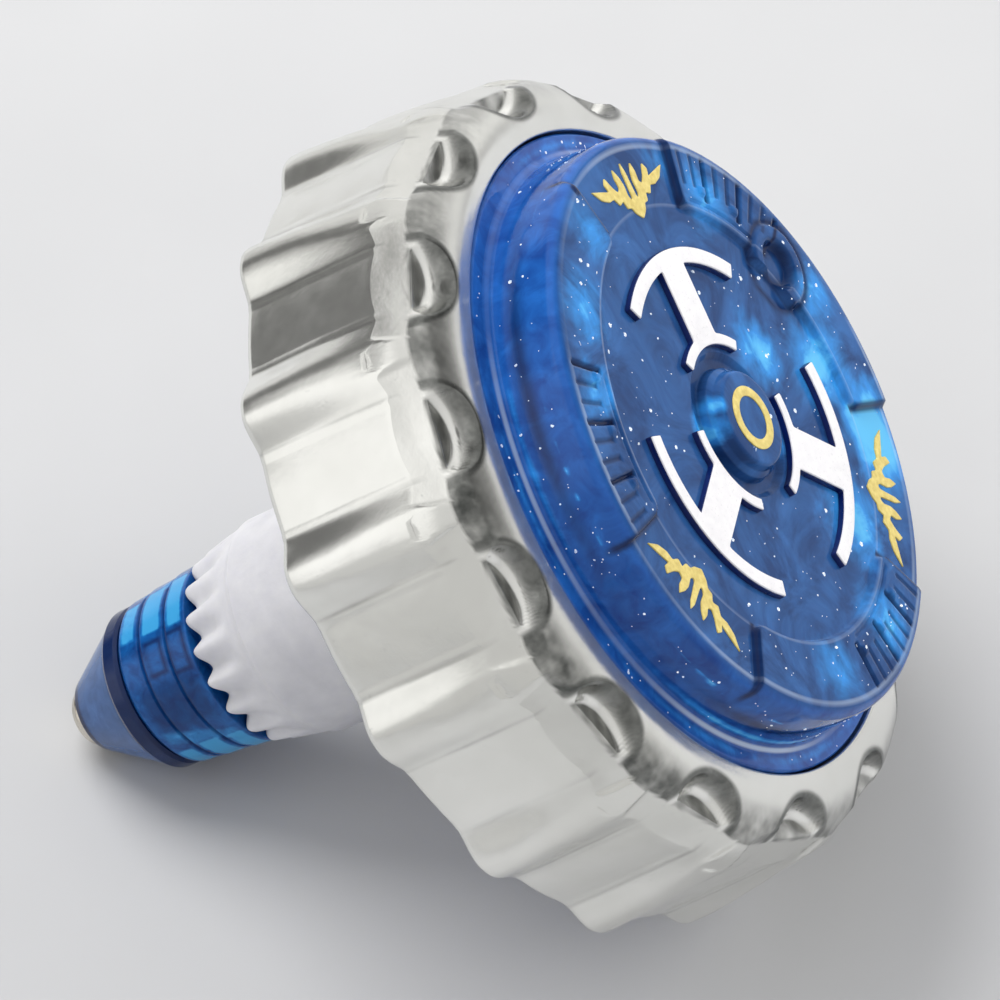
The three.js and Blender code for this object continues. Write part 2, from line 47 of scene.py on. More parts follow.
def thirds(first):
    """Three angles in degrees, evenly spaced."""
    return first, first + 120.0, first + 240.0


# ---------------------------------------------------------------- driving sizes, mm and degrees
FLUTE_COUNT = 15
FLUTE_PITCH = 360.0 / FLUTE_COUNT
START_ANGLE = 90.0                 # a flute and a drive tooth start here
RIDGE_RADIUS, FLUTE_RADIUS = 25.6, 24.4
RING_TOP, RING_BOTTOM = 45.0, 31.8
POCKET_X, POCKET_Y, POCKET_RADIUS = 24.95, 0.35, 3.05    # round pocket in a flute's own frame

FACE_Z = 49.0                      # the cover's flat top
SECTOR_RAISE = 0.42
SECTOR_HALF = 39.7
SECTOR_INNER = 13.55
MARK_ANGLES = thirds(90.0)
SECTOR_ANGLES = thirds(31.2)
POST_END = (14.3, SECTOR_ANGLES[0] + 0.6)                # radius, angle of the round post end
SLOTS = [(4.0 + 4.1 * k, k % 3 == 0) for k in range(9)]  # angle from the sector's middle, deep
# half width, depth, inner radius and painted shade strength of a slot, by whether it is deep
SLOT_SHAPE = {True: (0.14, 0.30, 14.5, 0.95), False: (0.09, 0.12, 15.2, 0.6)}

CASE_SCREW_RADIUS, CASE_SCREW_Z, CASE_SCREW_ANGLES = 14.2, 38.0, thirds(31.5)
SLEEVE_SCREW_RADIUS, SLEEVE_SCREW_Z, SLEEVE_SCREW_ANGLES = 8.55, 28.0, thirds(60.0)

# ---------------------------------------------------------------- camera, metres
CAM_POS = Vector((-0.52575, 0.00438, 0.33027))
CAM_FORWARD = Vector((0.87009877, -0.00439349, -0.49285782)).normalized()
CAM_DOWN = Vector((-0.20865262, -0.90922028, -0.36025347))
CAM_LENS = 369.27
LYING_UP = Vector((-0.5473, 0.5849, 0.5995)).normalized()  # floor normal, top lying on its side
MIDDLE = Vector((0.0, 0.0, 0.03))
FLOOR_GAP = 0.00005


# ---------------------------------------------------------------- mesh helpers
def make(name, verts, faces, smooth=True, sharp=None, fields=None):
    """Links a mesh object. sharp is an edge angle in degrees, fields are vertex attributes."""
    mesh = bpy.data.meshes.new(name)
    mesh.from_pydata([tuple(p) for p in (np.asarray(verts, float) * MM)], [], faces)
    for key, values in (fields or {}).items():
        attribute = mesh.attributes.new(key, "FLOAT", "POINT")
        attribute.data.foreach_set("value", np.asarray(values, float))
    mesh.validate()
    mesh.update()
    if smooth:
        shade_smooth(mesh, sharp)
    piece = bpy.data.objects.new(name, mesh)
    bpy.context.scene.collection.objects.link(piece)
    return piece


def shade_smooth(mesh, sharp):
    mesh.polygons.foreach_set("use_smooth", [True] * len(mesh.polygons))
    if sharp is not None:
        mesh.set_sharp_from_angle(angle=math.radians(sharp))


def finish(piece, body, slot, *replaced, look=None):
    piece.data.materials.clear()
    piece.data.materials.append(MATERIALS[look or slot])
    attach(piece, body)
    if replaced:
        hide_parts(*replaced)


def outward(verts, faces):
    """Flips all faces when the body's signed volume is not positive."""
    points = np.asarray(verts, float)
    fans = np.array([(f[0], f[i], f[i + 1]) for f in faces for i in range(1, len(f) - 1)])
    first, second, third = (points[fans[:, i]] for i in range(3))
    volume = np.einsum("ij,ij->i", first, np.cross(second, third)).sum()
    return faces if volume > 0 else [tuple(reversed(f)) for f in faces]


def ring_angles(count, start=0.0):
    return np.radians(start) + np.arange(count) * TAU / count


def circle(radius, z, angles):
    """Points round the axis. radius and z may vary with the angle. Radius 0 is one point."""
    if np.ndim(radius) == 0 and radius < 1e-9:
        return np.array([[0.0, 0.0, z]])
    return np.stack([radius * np.cos(angles), radius * np.sin(angles), z + 0 * angles], 1)


def bands(rings, closed):
    """Joins each ring of points to the next, and the last to the first when closed."""
    count = max(len(ring) for ring in rings)
    ids, start = [], 0
    for ring in rings:
        ids.append([start] * count if len(ring) == 1 else list(range(start, start + count)))
        start += len(ring)
    faces = []
    for i in range(len(rings) if closed else len(rings) - 1):
        low, high = ids[i], ids[(i + 1) % len(rings)]
        for j in range(count):
            k = (j + 1) % count
            face = tuple(dict.fromkeys((low[j], low[k], high[k], high[j])))
            if len(face) > 2:
                faces.append(face)
    return np.concatenate(rings), faces


def stitch(rings, closed):
    verts, faces = bands(rings, closed)
    return verts, outward(verts, faces)


def revolve(rows, count):
    """Body from (radius, z) rows that run from axis to axis, or close on themselves."""
    angles = ring_angles(count)
    return stitch([circle(radius, z, angles) for radius, z in rows], rows[0][0] > 1e-9)


def soften(points, default, loop=False, segs=4):
    """Rounds the corners of a profile. Each point is (radius, z) or (radius, z, rounding)."""
    out = []
    count = len(points)
    for i, point in enumerate(points):
        rounding = point[2] if len(point) > 2 else default
        if not loop and i in (0, count - 1):
            out.append(point[:2])
            continue
        corner = np.array(point[:2])
        back = np.array(points[i - 1][:2]) - corner
        ahead = np.array(points[(i + 1) % count][:2]) - corner
        back_length, ahead_length = np.linalg.norm(back), np.linalg.norm(ahead)
        back, ahead = back / back_length, ahead / ahead_length
        angle = math.acos(max(-1, min(1, float(back @ ahead))))
        if rounding <= 0 or angle > math.radians(176):
            out.append(point[:2])
            continue
        reach = min(rounding / math.tan(angle / 2), back_length * 0.45, ahead_length * 0.45)
        start, end = corner + back * reach, corner + ahead * reach
        for k in range(segs + 1):
            s = k / segs
            curve = (1 - s) ** 2 * start + 2 * s * (1 - s) * corner + s * s * end
            out.append((float(curve[0]), float(curve[1])))
    return out


def dense(points, step):
    """Adds points so that no gap is longer than step, a length or a function of both ends."""
    out = [points[0]]
    for start, end in zip(points[:-1], points[1:]):
        limit = step(start, end) if callable(step) else step
        gap = math.hypot(end[0] - start[0], end[1] - start[1])
        count = max(1, int(math.ceil(gap / limit)))
        out += [(start[0] + (end[0] - start[0]) * i / count,
                 start[1] + (end[1] - start[1]) * i / count) for i in range(1, count + 1)]
    return out


def lathe(name, profile, count, default, step=None, sharp=None, fields=None):
    """Turned object. default is the corner rounding, fields a function of the vertices."""
    closed = profile[0][0] > 1e-9
    rows = soften(profile, default, closed)
    if step:
        rows = dense(rows + rows[:1], step)[:-1] if closed else dense(rows, step)
    verts, faces = revolve(rows, count)
    return make(name, verts, faces, sharp=sharp, fields=fields(verts) if fields else None)


def smooth_outline(points, sigma, step):
    """Closed outline, resampled and blurred so that its corners are rounded."""
    loop = np.array(points + points[:1], float)
    along = np.r_[0, np.cumsum(np.linalg.norm(np.diff(loop, axis=0), axis=1))]
    length = along[-1]
    count = max(24, int(length / step))
    stations = np.arange(count) * length / count
    blur = np.exp(-2 * (math.pi * np.fft.rfftfreq(count, length / count) * sigma) ** 2)
    return np.stack([np.fft.irfft(np.fft.rfft(np.interp(stations, along, loop[:, i])) * blur,
                                  count) for i in range(2)], 1)


def inset(outline, distance):
    tangent = np.roll(outline, -1, 0) - np.roll(outline, 1, 0)
    tangent /= np.linalg.norm(tangent, axis=1)[:, None] + 1e-12
    x, y = outline[:, 0], outline[:, 1]
    area = 0.5 * np.sum(x * np.roll(y, -1) - np.roll(x, -1) * y)
    normal = np.stack([-tangent[:, 1], tangent[:, 0]], 1) * (1 if area > 0 else -1)
    return outline + normal * distance


def plate(outline, bottom, top, bevel, flare=0.0):
    """Closed plate with a rounded top edge: (verts, faces)."""
    # z, inset
    levels = [(bottom, -flare), (top - bevel, 0.0), (top - bevel * 0.6, bevel * 0.12),
              (top - bevel * 0.27, bevel * 0.4), (top - bevel * 0.06, bevel * 0.75),
              (top, bevel * 1.1)]
    count = len(outline)
    rings = [np.c_[inset(outline, distance), np.full(count, z)] for z, distance in levels]
    verts, sides = bands(rings, closed=False)
    lid, caps = (len(levels) - 1) * count, []
    for i, j, k in tessellate_polygon([[Vector((p[0], p[1], 0)) for p in verts[lid:]]]):
        first, second, third = (verts[lid + corner, :2] for corner in (i, j, k))
        one, two = second - first, third - first
        if one[0] * two[1] - one[1] * two[0] < 0:
            j, k = k, j
        caps += [(lid + i, lid + j, lid + k), (k, j, i)]
    return verts, outward(verts, caps + sides)


def turned(verts, degrees):
    cos, sin = math.cos(math.radians(degrees)), math.sin(math.radians(degrees))
    x, y, z = np.array(verts, float).T
    return np.c_[x * cos - y * sin, x * sin + y * cos, z]


def merge(parts):
    all_verts, all_faces, start = [], [], 0
    for verts, faces in parts:
        all_verts.append(np.asarray(verts, float))
        all_faces += [tuple(i + start for i in face) for face in faces]
        start += len(verts)
    return np.concatenate(all_verts), all_faces


def cut(piece, tools):
    """Takes the closed tool objects out of the piece and removes them."""
    for tool in tools:
        modifier = piece.modifiers.new("cut", "BOOLEAN")
        modifier.operation, modifier.object = "DIFFERENCE", tool
        try:
            modifier.solver = "MANIFOLD"
        except TypeError:  # guards against a Blender without the manifold solver
            modifier.solver = "EXACT"
    depsgraph = bpy.context.evaluated_depsgraph_get()
    mesh = bpy.data.meshes.new_from_object(piece.evaluated_get(depsgraph))
    piece.modifiers.clear()
    old, name = piece.data, piece.data.name
    piece.data = mesh
    bpy.data.meshes.remove(old)
    mesh.name = name
    for tool in tools:
        bpy.data.objects.remove(tool)
    shade_smooth(mesh, 35)
    return piece


# ---------------------------------------------------------------- shaping functions
def polar(radius, degrees):
    return radius * math.cos(math.radians(degrees)), radius * math.sin(math.radians(degrees))


def distance_to(x, y, radius, degrees):
    """Distance from (x, y) to a point given by radius and angle."""
    centre_x, centre_y = polar(radius, degrees)
    return np.hypot(x - centre_x, y - centre_y)


def cylindrical(verts):
    return np.hypot(verts[:, 0], verts[:, 1]), np.arctan2(verts[:, 1], verts[:, 0]), verts[:, 2]


def wrap(degrees):
    return (degrees + 180.0) % 360.0 - 180.0


def ease(x, start, end):
    """Smooth step from 0 at start to 1 at end."""
    s = np.clip((x - start) / (end - start), 0, 1)
    return s * s * (3 - 2 * s)


def fall(x, start, end):
    return 1 - ease(x, start, end)


def bell(x, centre, width):
    return np.exp(-((x - centre) / width) ** 2)


def band(x, centre, half, soft):
    return fall(np.abs(x - centre), half - soft, half + soft)


def soft_min(one, two, blend):
    share = np.clip(0.5 + 0.5 * (two - one) / blend, 0, 1)
    return two * (1 - share) + one * share - blend * share * (1 - share)


def soft_max(one, two, blend):
    return -soft_min(-one, -two, blend)


def waves(verts, scale, seed):
    """Smooth pseudo-noise of about -1..1 at points in mm, from 15 plane waves."""
    random = np.random.RandomState(seed)
    total = np.zeros(len(verts))
    for _ in range(15):
        direction = random.normal(size=3)
        direction /= np.linalg.norm(direction)
        frequency = TAU / (scale * (0.6 + 1.2 * random.rand()))
        total += np.sin(verts @ direction * frequency + random.rand() * TAU)
    return total / math.sqrt(15 / 2) / 1.6


# ---------------------------------------------------------------- node helpers
class Tree:
    """Short calls for building a node tree. Inputs may be values or output sockets."""

    def __init__(self, node_tree):
        self.node_tree = node_tree
        node_tree.nodes.clear()

    def add(self, kind, ins=None, **settings):
        node = self.node_tree.nodes.new(kind)
        for key, value in settings.items():
            setattr(node, key, value)
        for key, value in (ins or {}).items():
            socket = node.inputs[key]
            if hasattr(value, "is_output"):
                self.node_tree.links.new(value, socket)
            elif socket.type == "RGBA" and len(value) == 3:
                socket.default_value = (*value, 1.0)
            else:
                socket.default_value = value
        return node

    def math(self, operation, one, two):
        return self.add("ShaderNodeMath", {0: one, 1: two}, operation=operation).outputs[0]

    def times(self, one, two):
        return self.math("MULTIPLY", one, two)

    def plus(self, one, two):
        return self.math("ADD", one, two)

    def minus(self, one, two):
        return self.math("SUBTRACT", one, two)

    def coords(self, scale=(1, 1, 1)):
        source = self.add("ShaderNodeTexCoord").outputs["Object"]
        return self.add("ShaderNodeMapping", {"Vector": source, "Scale": scale}).outputs["Vector"]

    def noise(self, scale, detail=3.0, rough=0.5, vector=None, distortion=0.0):
        return self.add("ShaderNodeTexNoise", {
            "Scale": scale, "Detail": detail, "Roughness": rough, "Distortion": distortion,
            "Vector": self.coords() if vector is None else vector}).outputs["Fac"]

    def field(self, name):
        return self.add("ShaderNodeAttribute", attribute_name=name).outputs["Fac"]

    def remap(self, value, between, to=(0.0, 1.0), smooth=False):
        return self.add("ShaderNodeMapRange", {
            "Value": value, "From Min": between[0], "From Max": between[1],
            "To Min": to[0], "To Max": to[1],
        }, interpolation_type="SMOOTHSTEP" if smooth else "LINEAR").outputs["Result"]

    def mix(self, amount, one, two):
        return self.add("ShaderNodeMix", {0: amount, 6: one, 7: two},
                        data_type="RGBA", clamp_factor=True).outputs[2]

    def bump(self, height, distance, strength):
        return self.add("ShaderNodeBump", {
            "Strength": strength, "Distance": distance, "Height": height}).outputs["Normal"]

    def output(self, kind, shader):
        self.add(kind, {"Surface": shader})

    def blend_shaders(self, amount, one, two):
        return self.add("ShaderNodeMixShader", {0: amount, 1: one, 2: two}).outputs[0]

    def surface(self, **ins):
        ins = {key.replace("_", " "): value for key, value in ins.items()}
        shader = self.add("ShaderNodeBsdfPrincipled", ins)
        self.output("ShaderNodeOutputMaterial", shader.outputs[0])


MATERIALS = {}


def new_material(name):
    material = bpy.data.materials.new(name)
    material.use_nodes = True
    MATERIALS[name] = material
    return Tree(material.node_tree)


def shown(tree, lying):
    """1 or 0. The lying stage shows only from the scene camera's place, the other elsewhere."""
    place = tree.add("ShaderNodeVectorTransform", {"Vector": (0, 0, 0)}, vector_type="POINT",
                     convert_from="CAMERA", convert_to="WORLD").outputs[0]
    gap = tree.add("ShaderNodeVectorMath", {0: place, 1: CAM_POS}, operation="DISTANCE")
    here = tree.math("LESS_THAN", gap.outputs["Value"], 0.06)
    return here if lying else tree.minus(1.0, here)


# ---------------------------------------------------------------- materials
def plated_ring():
    """Cast plating, with painted shade and a painted dark reflection where the ring's shade field
    is high, and painted highlights where its highlight field is high.
    """
    dull, pale = (0.77, 0.77, 0.735), (0.85, 0.85, 0.82)
    speck_colour, ring_shade_colour, ring_highlight_colour = (0.45, 0.46, 0.45), (0.085, 0.09, 0.085), (0.93, 0.93, 0.90)
    tree = new_material("plated_ring")
    big = tree.noise(scale=230, detail=3, rough=0.55)
    medium = tree.noise(scale=900, detail=4, rough=0.6)
    fine = tree.noise(scale=3600, detail=3, rough=0.6)
    cloud = tree.noise(scale=110, detail=4, rough=0.6, distortion=0.6)
    colour = tree.mix(tree.remap(cloud, between=(0.35, 0.7)), dull, pale)
    specks = tree.remap(tree.noise(scale=2400, detail=2, rough=0.6), between=(0.68, 0.78))
    colour = tree.mix(tree.times(specks, 0.25), colour, speck_colour)
    patchy = tree.remap(medium, between=(0.25, 0.7), to=(0.75, 1.0))
    # painted shade and painted reflection: the plating darkens towards the shade colour where the
    # shade field is high
    colour = tree.mix(tree.times(tree.field("painted_shade_tone"), patchy), colour, ring_shade_colour)
    # painted highlight: the crescent at each pocket's rim, lightened towards the highlight colour
    colour = tree.mix(tree.field("painted_rim_highlight"), colour, ring_highlight_colour)
    height = tree.plus(tree.times(big, 0.6), tree.times(medium, 0.12))
    height = tree.plus(height, tree.times(fine, 0.05))
    tree.surface(Base_Color=colour, Metallic=0.90,
                 Roughness=tree.remap(medium, between=(0.3, 0.75), to=(0.21, 0.27)),
                 Normal=tree.bump(height, distance=0.00015, strength=0.5))


def lit_plastic(name, face, side, painted_light_colour, painted_hot_colour, plastic_shade_colour, transmission, specular=0.3, scale=300,
                bump=0.00006, shine=0.0):
    """Clear blue plastic with painted light and shade. Mesh fields place its painted light
    patches, its painted shade, the wall and its painted highlight lines. face and side are colour
    pairs, the next two the painted light colours and the third the painted shade colour, shine
    adds specular on walls, scale is the swirl's."""
    # colour of the painted highlight lines
    painted_line_colour = (0.62, 0.74, 0.92)
    tree = new_material(name)
    vector = tree.coords()
    swirl = tree.noise(scale=scale, detail=4, rough=0.62, vector=vector, distortion=1.6)
    fine = tree.noise(scale=scale * 3.6, detail=3, rough=0.55, vector=vector, distortion=0.7)
    painted_light, shade_and_mark, wall, highlight_line = (tree.field(key) for key in ("painted_light", "shade_and_mark", "wall", "highlight_line"))
    colour = tree.mix(wall, tree.mix(tree.remap(swirl, between=(0.36, 0.68)), *face),
                      tree.mix(tree.remap(fine, between=(0.28, 0.74)), *side))
    # painted light patches, from the painted light field broken up by the swirl
    patch = painted_light
    for pattern, share in ((swirl, 0.8), (fine, 0.5)):
        patch = tree.plus(patch, tree.times(tree.minus(pattern, 0.5), share))
    patch = tree.times(tree.remap(patch, between=(0.22, 0.95), smooth=True),
                       tree.remap(painted_light, between=(0.02, 0.25)))
    colour = tree.mix(patch, colour, painted_light_colour)
    colour = tree.mix(tree.remap(patch, between=(0.72, 1.0), to=(0.0, 0.55)), colour, painted_hot_colour)
    # painted shade: darkens towards the shade colour where the shade field is high
    colour = tree.mix(shade_and_mark, colour, plastic_shade_colour)
    # painted highlight lines
    colour = tree.mix(highlight_line, colour, painted_line_colour)
    smear = tree.noise(scale=900, detail=3, rough=0.5)
    height = tree.plus(tree.noise(scale=300, detail=2, rough=0.5), tree.times(fine, 0.2))
    tree.surface(Base_Color=colour, IOR=1.45, Transmission_Weight=transmission,
                 Roughness=tree.remap(smear, between=(0.3, 0.8), to=(0.035, 0.10)),
                 Specular_IOR_Level=tree.plus(tree.times(wall, shine), specular),
                 Normal=tree.bump(height, distance=bump, strength=0.5))


def blue_plastic(name, deep, middle, transmission, rough):
    tree = new_material(name)
    cloud = tree.noise(scale=160, detail=4, rough=0.6, distortion=0.8)
    smear = tree.noise(scale=900, detail=3, rough=0.5)
    height = tree.noise(scale=420, detail=2, rough=0.5)
    tree.surface(Base_Color=tree.mix(tree.remap(cloud, between=(0.34, 0.68)), deep, middle),
                 Roughness=tree.remap(smear, between=(0.3, 0.8), to=(rough * 0.6, rough * 1.8)),
                 IOR=1.49, Transmission_Weight=transmission, Specular_IOR_Level=0.42,
                 Normal=tree.bump(height, distance=0.00006, strength=0.5))


def two_tone(name, one, two, metallic, rough, scale, bump=0.00003, coat=0.0, stretch=None,
             **extra):
    """Two-tone finish with varied roughness. stretch scales the pattern's z coordinate."""
    tree = new_material(name)
    vector = tree.coords((1, 1, stretch)) if stretch else None
    cloud = tree.noise(scale=scale, detail=4, rough=0.55, vector=vector)
    fine = tree.noise(scale=scale * 3.1, detail=3, rough=0.6, vector=vector)
    tree.surface(Base_Color=tree.mix(tree.remap(cloud, between=(0.32, 0.7)), one, two),
                 Metallic=metallic, Coat_Weight=coat,
                 Roughness=tree.remap(fine, between=(0.3, 0.72), to=rough),
                 Normal=tree.bump(fine, distance=bump, strength=0.6), **extra)


def glitter_flakes():
    tree = new_material("glitter_flakes")
    cloud = tree.noise(scale=9000, detail=1, rough=0.5)
    blue, white = (0.55, 0.72, 0.95), (0.97, 0.98, 1.0)
    colour = tree.mix(tree.remap(cloud, between=(0.35, 0.65)), blue, white)
    # the emission is painted sparkle: the flakes glow a little so that they show inside the cover
    tree.surface(Base_Color=colour, Metallic=0.6, Emission_Color=colour, Emission_Strength=0.35,
                 Roughness=tree.remap(cloud, between=(0.3, 0.7), to=(0.15, 0.35)))


# name, both colours, metallic, roughness range, noise scale, then named options
TWO_TONE = [
    ("white_sleeve", (0.60, 0.60, 0.64), (0.69, 0.69, 0.72), 0, (0.32, 0.5), 500,
     dict(Subsurface_Weight=0.35, Subsurface_Radius=(0.0012, 0.0012, 0.0016),
          Subsurface_Scale=1.0)),
    ("white_print", (0.86, 0.85, 0.88), (0.93, 0.92, 0.94), 0, (0.25, 0.4), 1500,
     dict(bump=0.00001, coat=0.3)),
    ("gold_print", (0.66, 0.51, 0.13), (0.86, 0.71, 0.24), 0, (0.3, 0.5), 2600,
     dict(bump=0.00002)),
    ("tip_steel", (0.50, 0.46, 0.40), (0.72, 0.68, 0.61), 1, (0.16, 0.34), 900,
     dict(bump=0.00001, stretch=6)),
    ("bush_brass", (0.55, 0.38, 0.14), (0.72, 0.53, 0.22), 1, (0.25, 0.45), 900,
     dict(bump=0.00001, stretch=6)),
    ("washer_black", (0.012, 0.012, 0.014), (0.03, 0.028, 0.03), 0, (0.45, 0.65), 1500, {}),
    ("clip_steel", (0.33, 0.34, 0.36), (0.50, 0.51, 0.53), 1, (0.25, 0.45), 1500, {}),
    ("screw_steel", (0.50, 0.51, 0.53), (0.70, 0.71, 0.73), 1, (0.2, 0.4), 1400,
     dict(bump=0.00001)),
    ("board_green", (0.01, 0.11, 0.045), (0.02, 0.2, 0.08), 0, (0.3, 0.5), 900, dict(coat=0.4)),
    ("led_red", (0.62, 0.04, 0.03), (0.8, 0.12, 0.08), 0, (0.08, 0.2), 900, dict(coat=0.5)),
    ("led_green", (0.05, 0.42, 0.10), (0.12, 0.6, 0.18), 0, (0.08, 0.2), 900, dict(coat=0.5)),
    ("led_blue", (0.03, 0.12, 0.62), (0.08, 0.25, 0.8), 0, (0.08, 0.2), 900, dict(coat=0.5)),
    ("black_epoxy", (0.012, 0.012, 0.014), (0.028, 0.028, 0.03), 0, (0.3, 0.55), 1200, {}),
    ("cell_steel", (0.60, 0.61, 0.63), (0.78, 0.79, 0.80), 1, (0.18, 0.34), 600,
     dict(bump=0.00001, stretch=5)),
    ("contact_metal", (0.58, 0.47, 0.22), (0.76, 0.66, 0.38), 1, (0.22, 0.4), 900, {}),
    ("spring_steel", (0.55, 0.56, 0.58), (0.75, 0.76, 0.78), 1, (0.16, 0.3), 1400, {}),
    ("leaf_bronze", (0.60, 0.40, 0.17), (0.78, 0.56, 0.27), 1, (0.2, 0.36), 1100, {}),
    ("wire_red", (0.42, 0.02, 0.025), (0.6, 0.05, 0.05), 0, (0.3, 0.5), 1300, {}),
]


def build_materials():
    plated_ring()
    lit_plastic("glitter_cover", face=((0.014, 0.055, 0.19), (0.038, 0.145, 0.42)),
                side=((0.009, 0.060, 0.30), (0.020, 0.15, 0.56)), painted_light_colour=(0.045, 0.38, 1.0),
                painted_hot_colour=(0.20, 0.75, 1.0), plastic_shade_colour=(0.003, 0.010, 0.055), transmission=0.10,
                specular=0.12, scale=170, shine=0.24)
    stem = ((0.005, 0.055, 0.25), (0.012, 0.16, 0.54))
    lit_plastic("stem_clear", face=stem, side=stem, painted_light_colour=(0.03, 0.34, 0.85),
                painted_hot_colour=(0.10, 0.58, 1.0), plastic_shade_colour=(0.002, 0.012, 0.09), transmission=0.30)
    nose = ((0.040, 0.110, 0.31), (0.062, 0.165, 0.43))
    lit_plastic("nose_clear", face=nose, side=nose, painted_light_colour=(0.09, 0.22, 0.58),
                painted_hot_colour=(0.3, 0.5, 0.9), plastic_shade_colour=(0.003, 0.008, 0.06), transmission=0.28,
                bump=0.00003)
    # painted shade: a darker copy of the cover's plastic for the mark pads, whose sides show as
    # dark edges beside the prints
    blue_plastic("shaded_cover_pads", deep=(0.003, 0.010, 0.09), middle=(0.005, 0.020, 0.15),
                 transmission=0.15, rough=0.06)
    blue_plastic("blue_clear", deep=(0.004, 0.06, 0.36), middle=(0.010, 0.17, 0.66),
                 transmission=0.5, rough=0.04)
    for *columns, options in TWO_TONE:
        two_tone(*columns, **options)
    glitter_flakes()


# ---------------------------------------------------------------- flywheel ring
def flute_offset(angle):
    """Signed angle in degrees from the nearest flute's centre."""
    turn = (np.degrees(angle) - START_ANGLE - 0.5) / FLUTE_PITCH
    return (turn - np.round(turn)) * FLUTE_PITCH


def side_radius(angle, z):
    """Outer radius. Ridges stand out at the lower edge and melt into the shoulder above."""
    offset = np.abs(flute_offset(angle))
    share = np.clip((offset - 5.7) / 5.9, 0, 1)
    height = ease(z, 32.4, 42.5)
    floor, ridge = FLUTE_RADIUS - 0.12 * height, RIDGE_RADIUS - 0.85 * height
    crease_bead = (0.075 - 0.02 * height) * bell(offset, 5.6, 0.40)
    rise = 0.45 * np.sin(share * math.pi / 2) + 0.55 * (0.5 - 0.5 * np.cos(share * math.pi))
    return floor + (ridge - floor) * rise + crease_bead


def pocket_frame(radius, angle):
    """Distance out along the flute, distance across it, and gap to the pocket's round wall."""
    offset = np.radians(flute_offset(angle))
    along, across = radius * np.cos(offset), radius * np.sin(offset)
    return along, across, np.hypot(along - POCKET_X, across - POCKET_Y) - POCKET_RADIUS


def ring_height(radius, angle):
    """Top surface of the ring. The wall gap is below 0 inside a pocket."""
    along, across, gap = pocket_frame(radius, angle)
    share = np.clip((radius - 21.0) / 3.72, 0, 1)
    height = RING_TOP - 4.5 * (1 - np.sqrt(1 - share ** 2))
    pocket = 43.72 - 0.44 * ease(-gap, 0.04, 0.48) + 3.4 * np.maximum(0, gap)
    height = soft_min(height, pocket, 0.18)
    flank = soft_max(np.abs(across) - 4.45 + 0.5 * np.maximum(0, along - 23.6), 0.0, 0.3)
    return soft_min(height, 40.9 + (24.3 - along) * 2.9 + 5.0 * flank, 0.16)


def ring_fields(verts):
    """Painted shade in the pockets, along the creases and at the lower edge, a painted dark
    reflection on the shoulder, and painted highlights on the pocket rims.
    """
    radius, angle, z = cylindrical(verts)
    gap = pocket_frame(radius, angle)[2]
    top = ease(z, 42.96, 43.10) * (radius > 20.9)
    wall = ease(gap, -0.10, 0.24) * fall(gap, 0.48, 0.84)
    ledge = ease(gap, -0.16, -0.08) * fall(gap, 0.05, 0.20)
    floor = fall(gap, -0.50, -0.34) * (0.85 + 0.30 * waves(verts, 1.6, 13))
    # painted shade on the pocket walls, ledges and floors
    painted_shade_tone = (0.97 * wall + 0.36 * ledge + 0.74 * floor) * top
    # painted reflection of a dark surround on the shoulder, strongest on the side near 200
    # degrees
    dark_reflection_side = 0.57 + 0.43 * np.cos(angle - math.radians(200))
    cloud = 0.88 + 0.22 * waves(verts, 2.2, 11) + 0.14 * waves(verts, 0.7, 12)
    shoulder = ease(radius, 21.8, 23.3) * np.clip(cloud, 0.3, 1.1)
    painted_shade_tone = np.maximum(painted_shade_tone, 0.95 * dark_reflection_side * shoulder * ease(gap, 0.2, 0.5) * top)
    # painted highlight on the crescent at each pocket's rim
    painted_rim_highlight = bell(gap, -0.24, 0.11) * top
    offset = np.abs(flute_offset(angle))
    # painted shade along the creases beside each ridge
    crease = 0.34 * bell(offset, 6.15, 0.28) + 0.10 * bell(offset, 7.6, 1.1)
    crease *= (radius > 23.4) * fall(z, 41.3, 42.2)
    painted_shade_tone = np.maximum(painted_shade_tone, crease * np.clip(0.7 + 0.5 * waves(verts, 5.0, 17), 0.2, 1))
    # painted shade along the ring's lower edge
    painted_shade_tone = np.maximum(painted_shade_tone, 0.25 * fall(z, 31.75, 32.2) * (radius > 22.6))
    return {"painted_shade_tone": np.clip(painted_shade_tone * (1 - painted_rim_highlight), 0, 1), "painted_rim_highlight": np.clip(painted_rim_highlight, 0, 1)}


# radius, z, rounding: top corner of the bore, then down the bore to the underside
BORE_LIP = [(20.6, RING_TOP), (20.15, RING_TOP, 0.35), (20.15, 44.0)]
RING_BORE = [(20.15, 42.6), (17.9, 42.6, 0.15), (17.9, 40.0, 0.15), (20.6, 40.0, 0.2),
             (20.6, 35.0, 0.6), (21.4, 33.6, 0.6), (22.2, RING_BOTTOM, 0.35),
             (23.3, RING_BOTTOM)]


def roughen_casting(verts):
    """Moves the outer side and the top a little, as in an uneven casting."""
    radius = np.hypot(verts[:, 0], verts[:, 1])
    outwards = verts[:, :2] / radius[:, None]
    swell = waves(verts, 9.0, 3) * 0.055 + waves(verts, 3.2, 4) * 0.026
    shift = np.minimum(swell * ease(radius, 22.5, 24.0), RIDGE_RADIUS + 0.02 - radius)
    verts[:, :2] += outwards * shift[:, None]
    lift = ease(verts[:, 2], 42.0, 43.0) * ease(radius, 20.5, 21.5)
    verts[:, 2] += np.minimum(waves(verts, 6.0, 5) * 0.035 * lift,
                              RING_TOP + 0.03 - verts[:, 2])


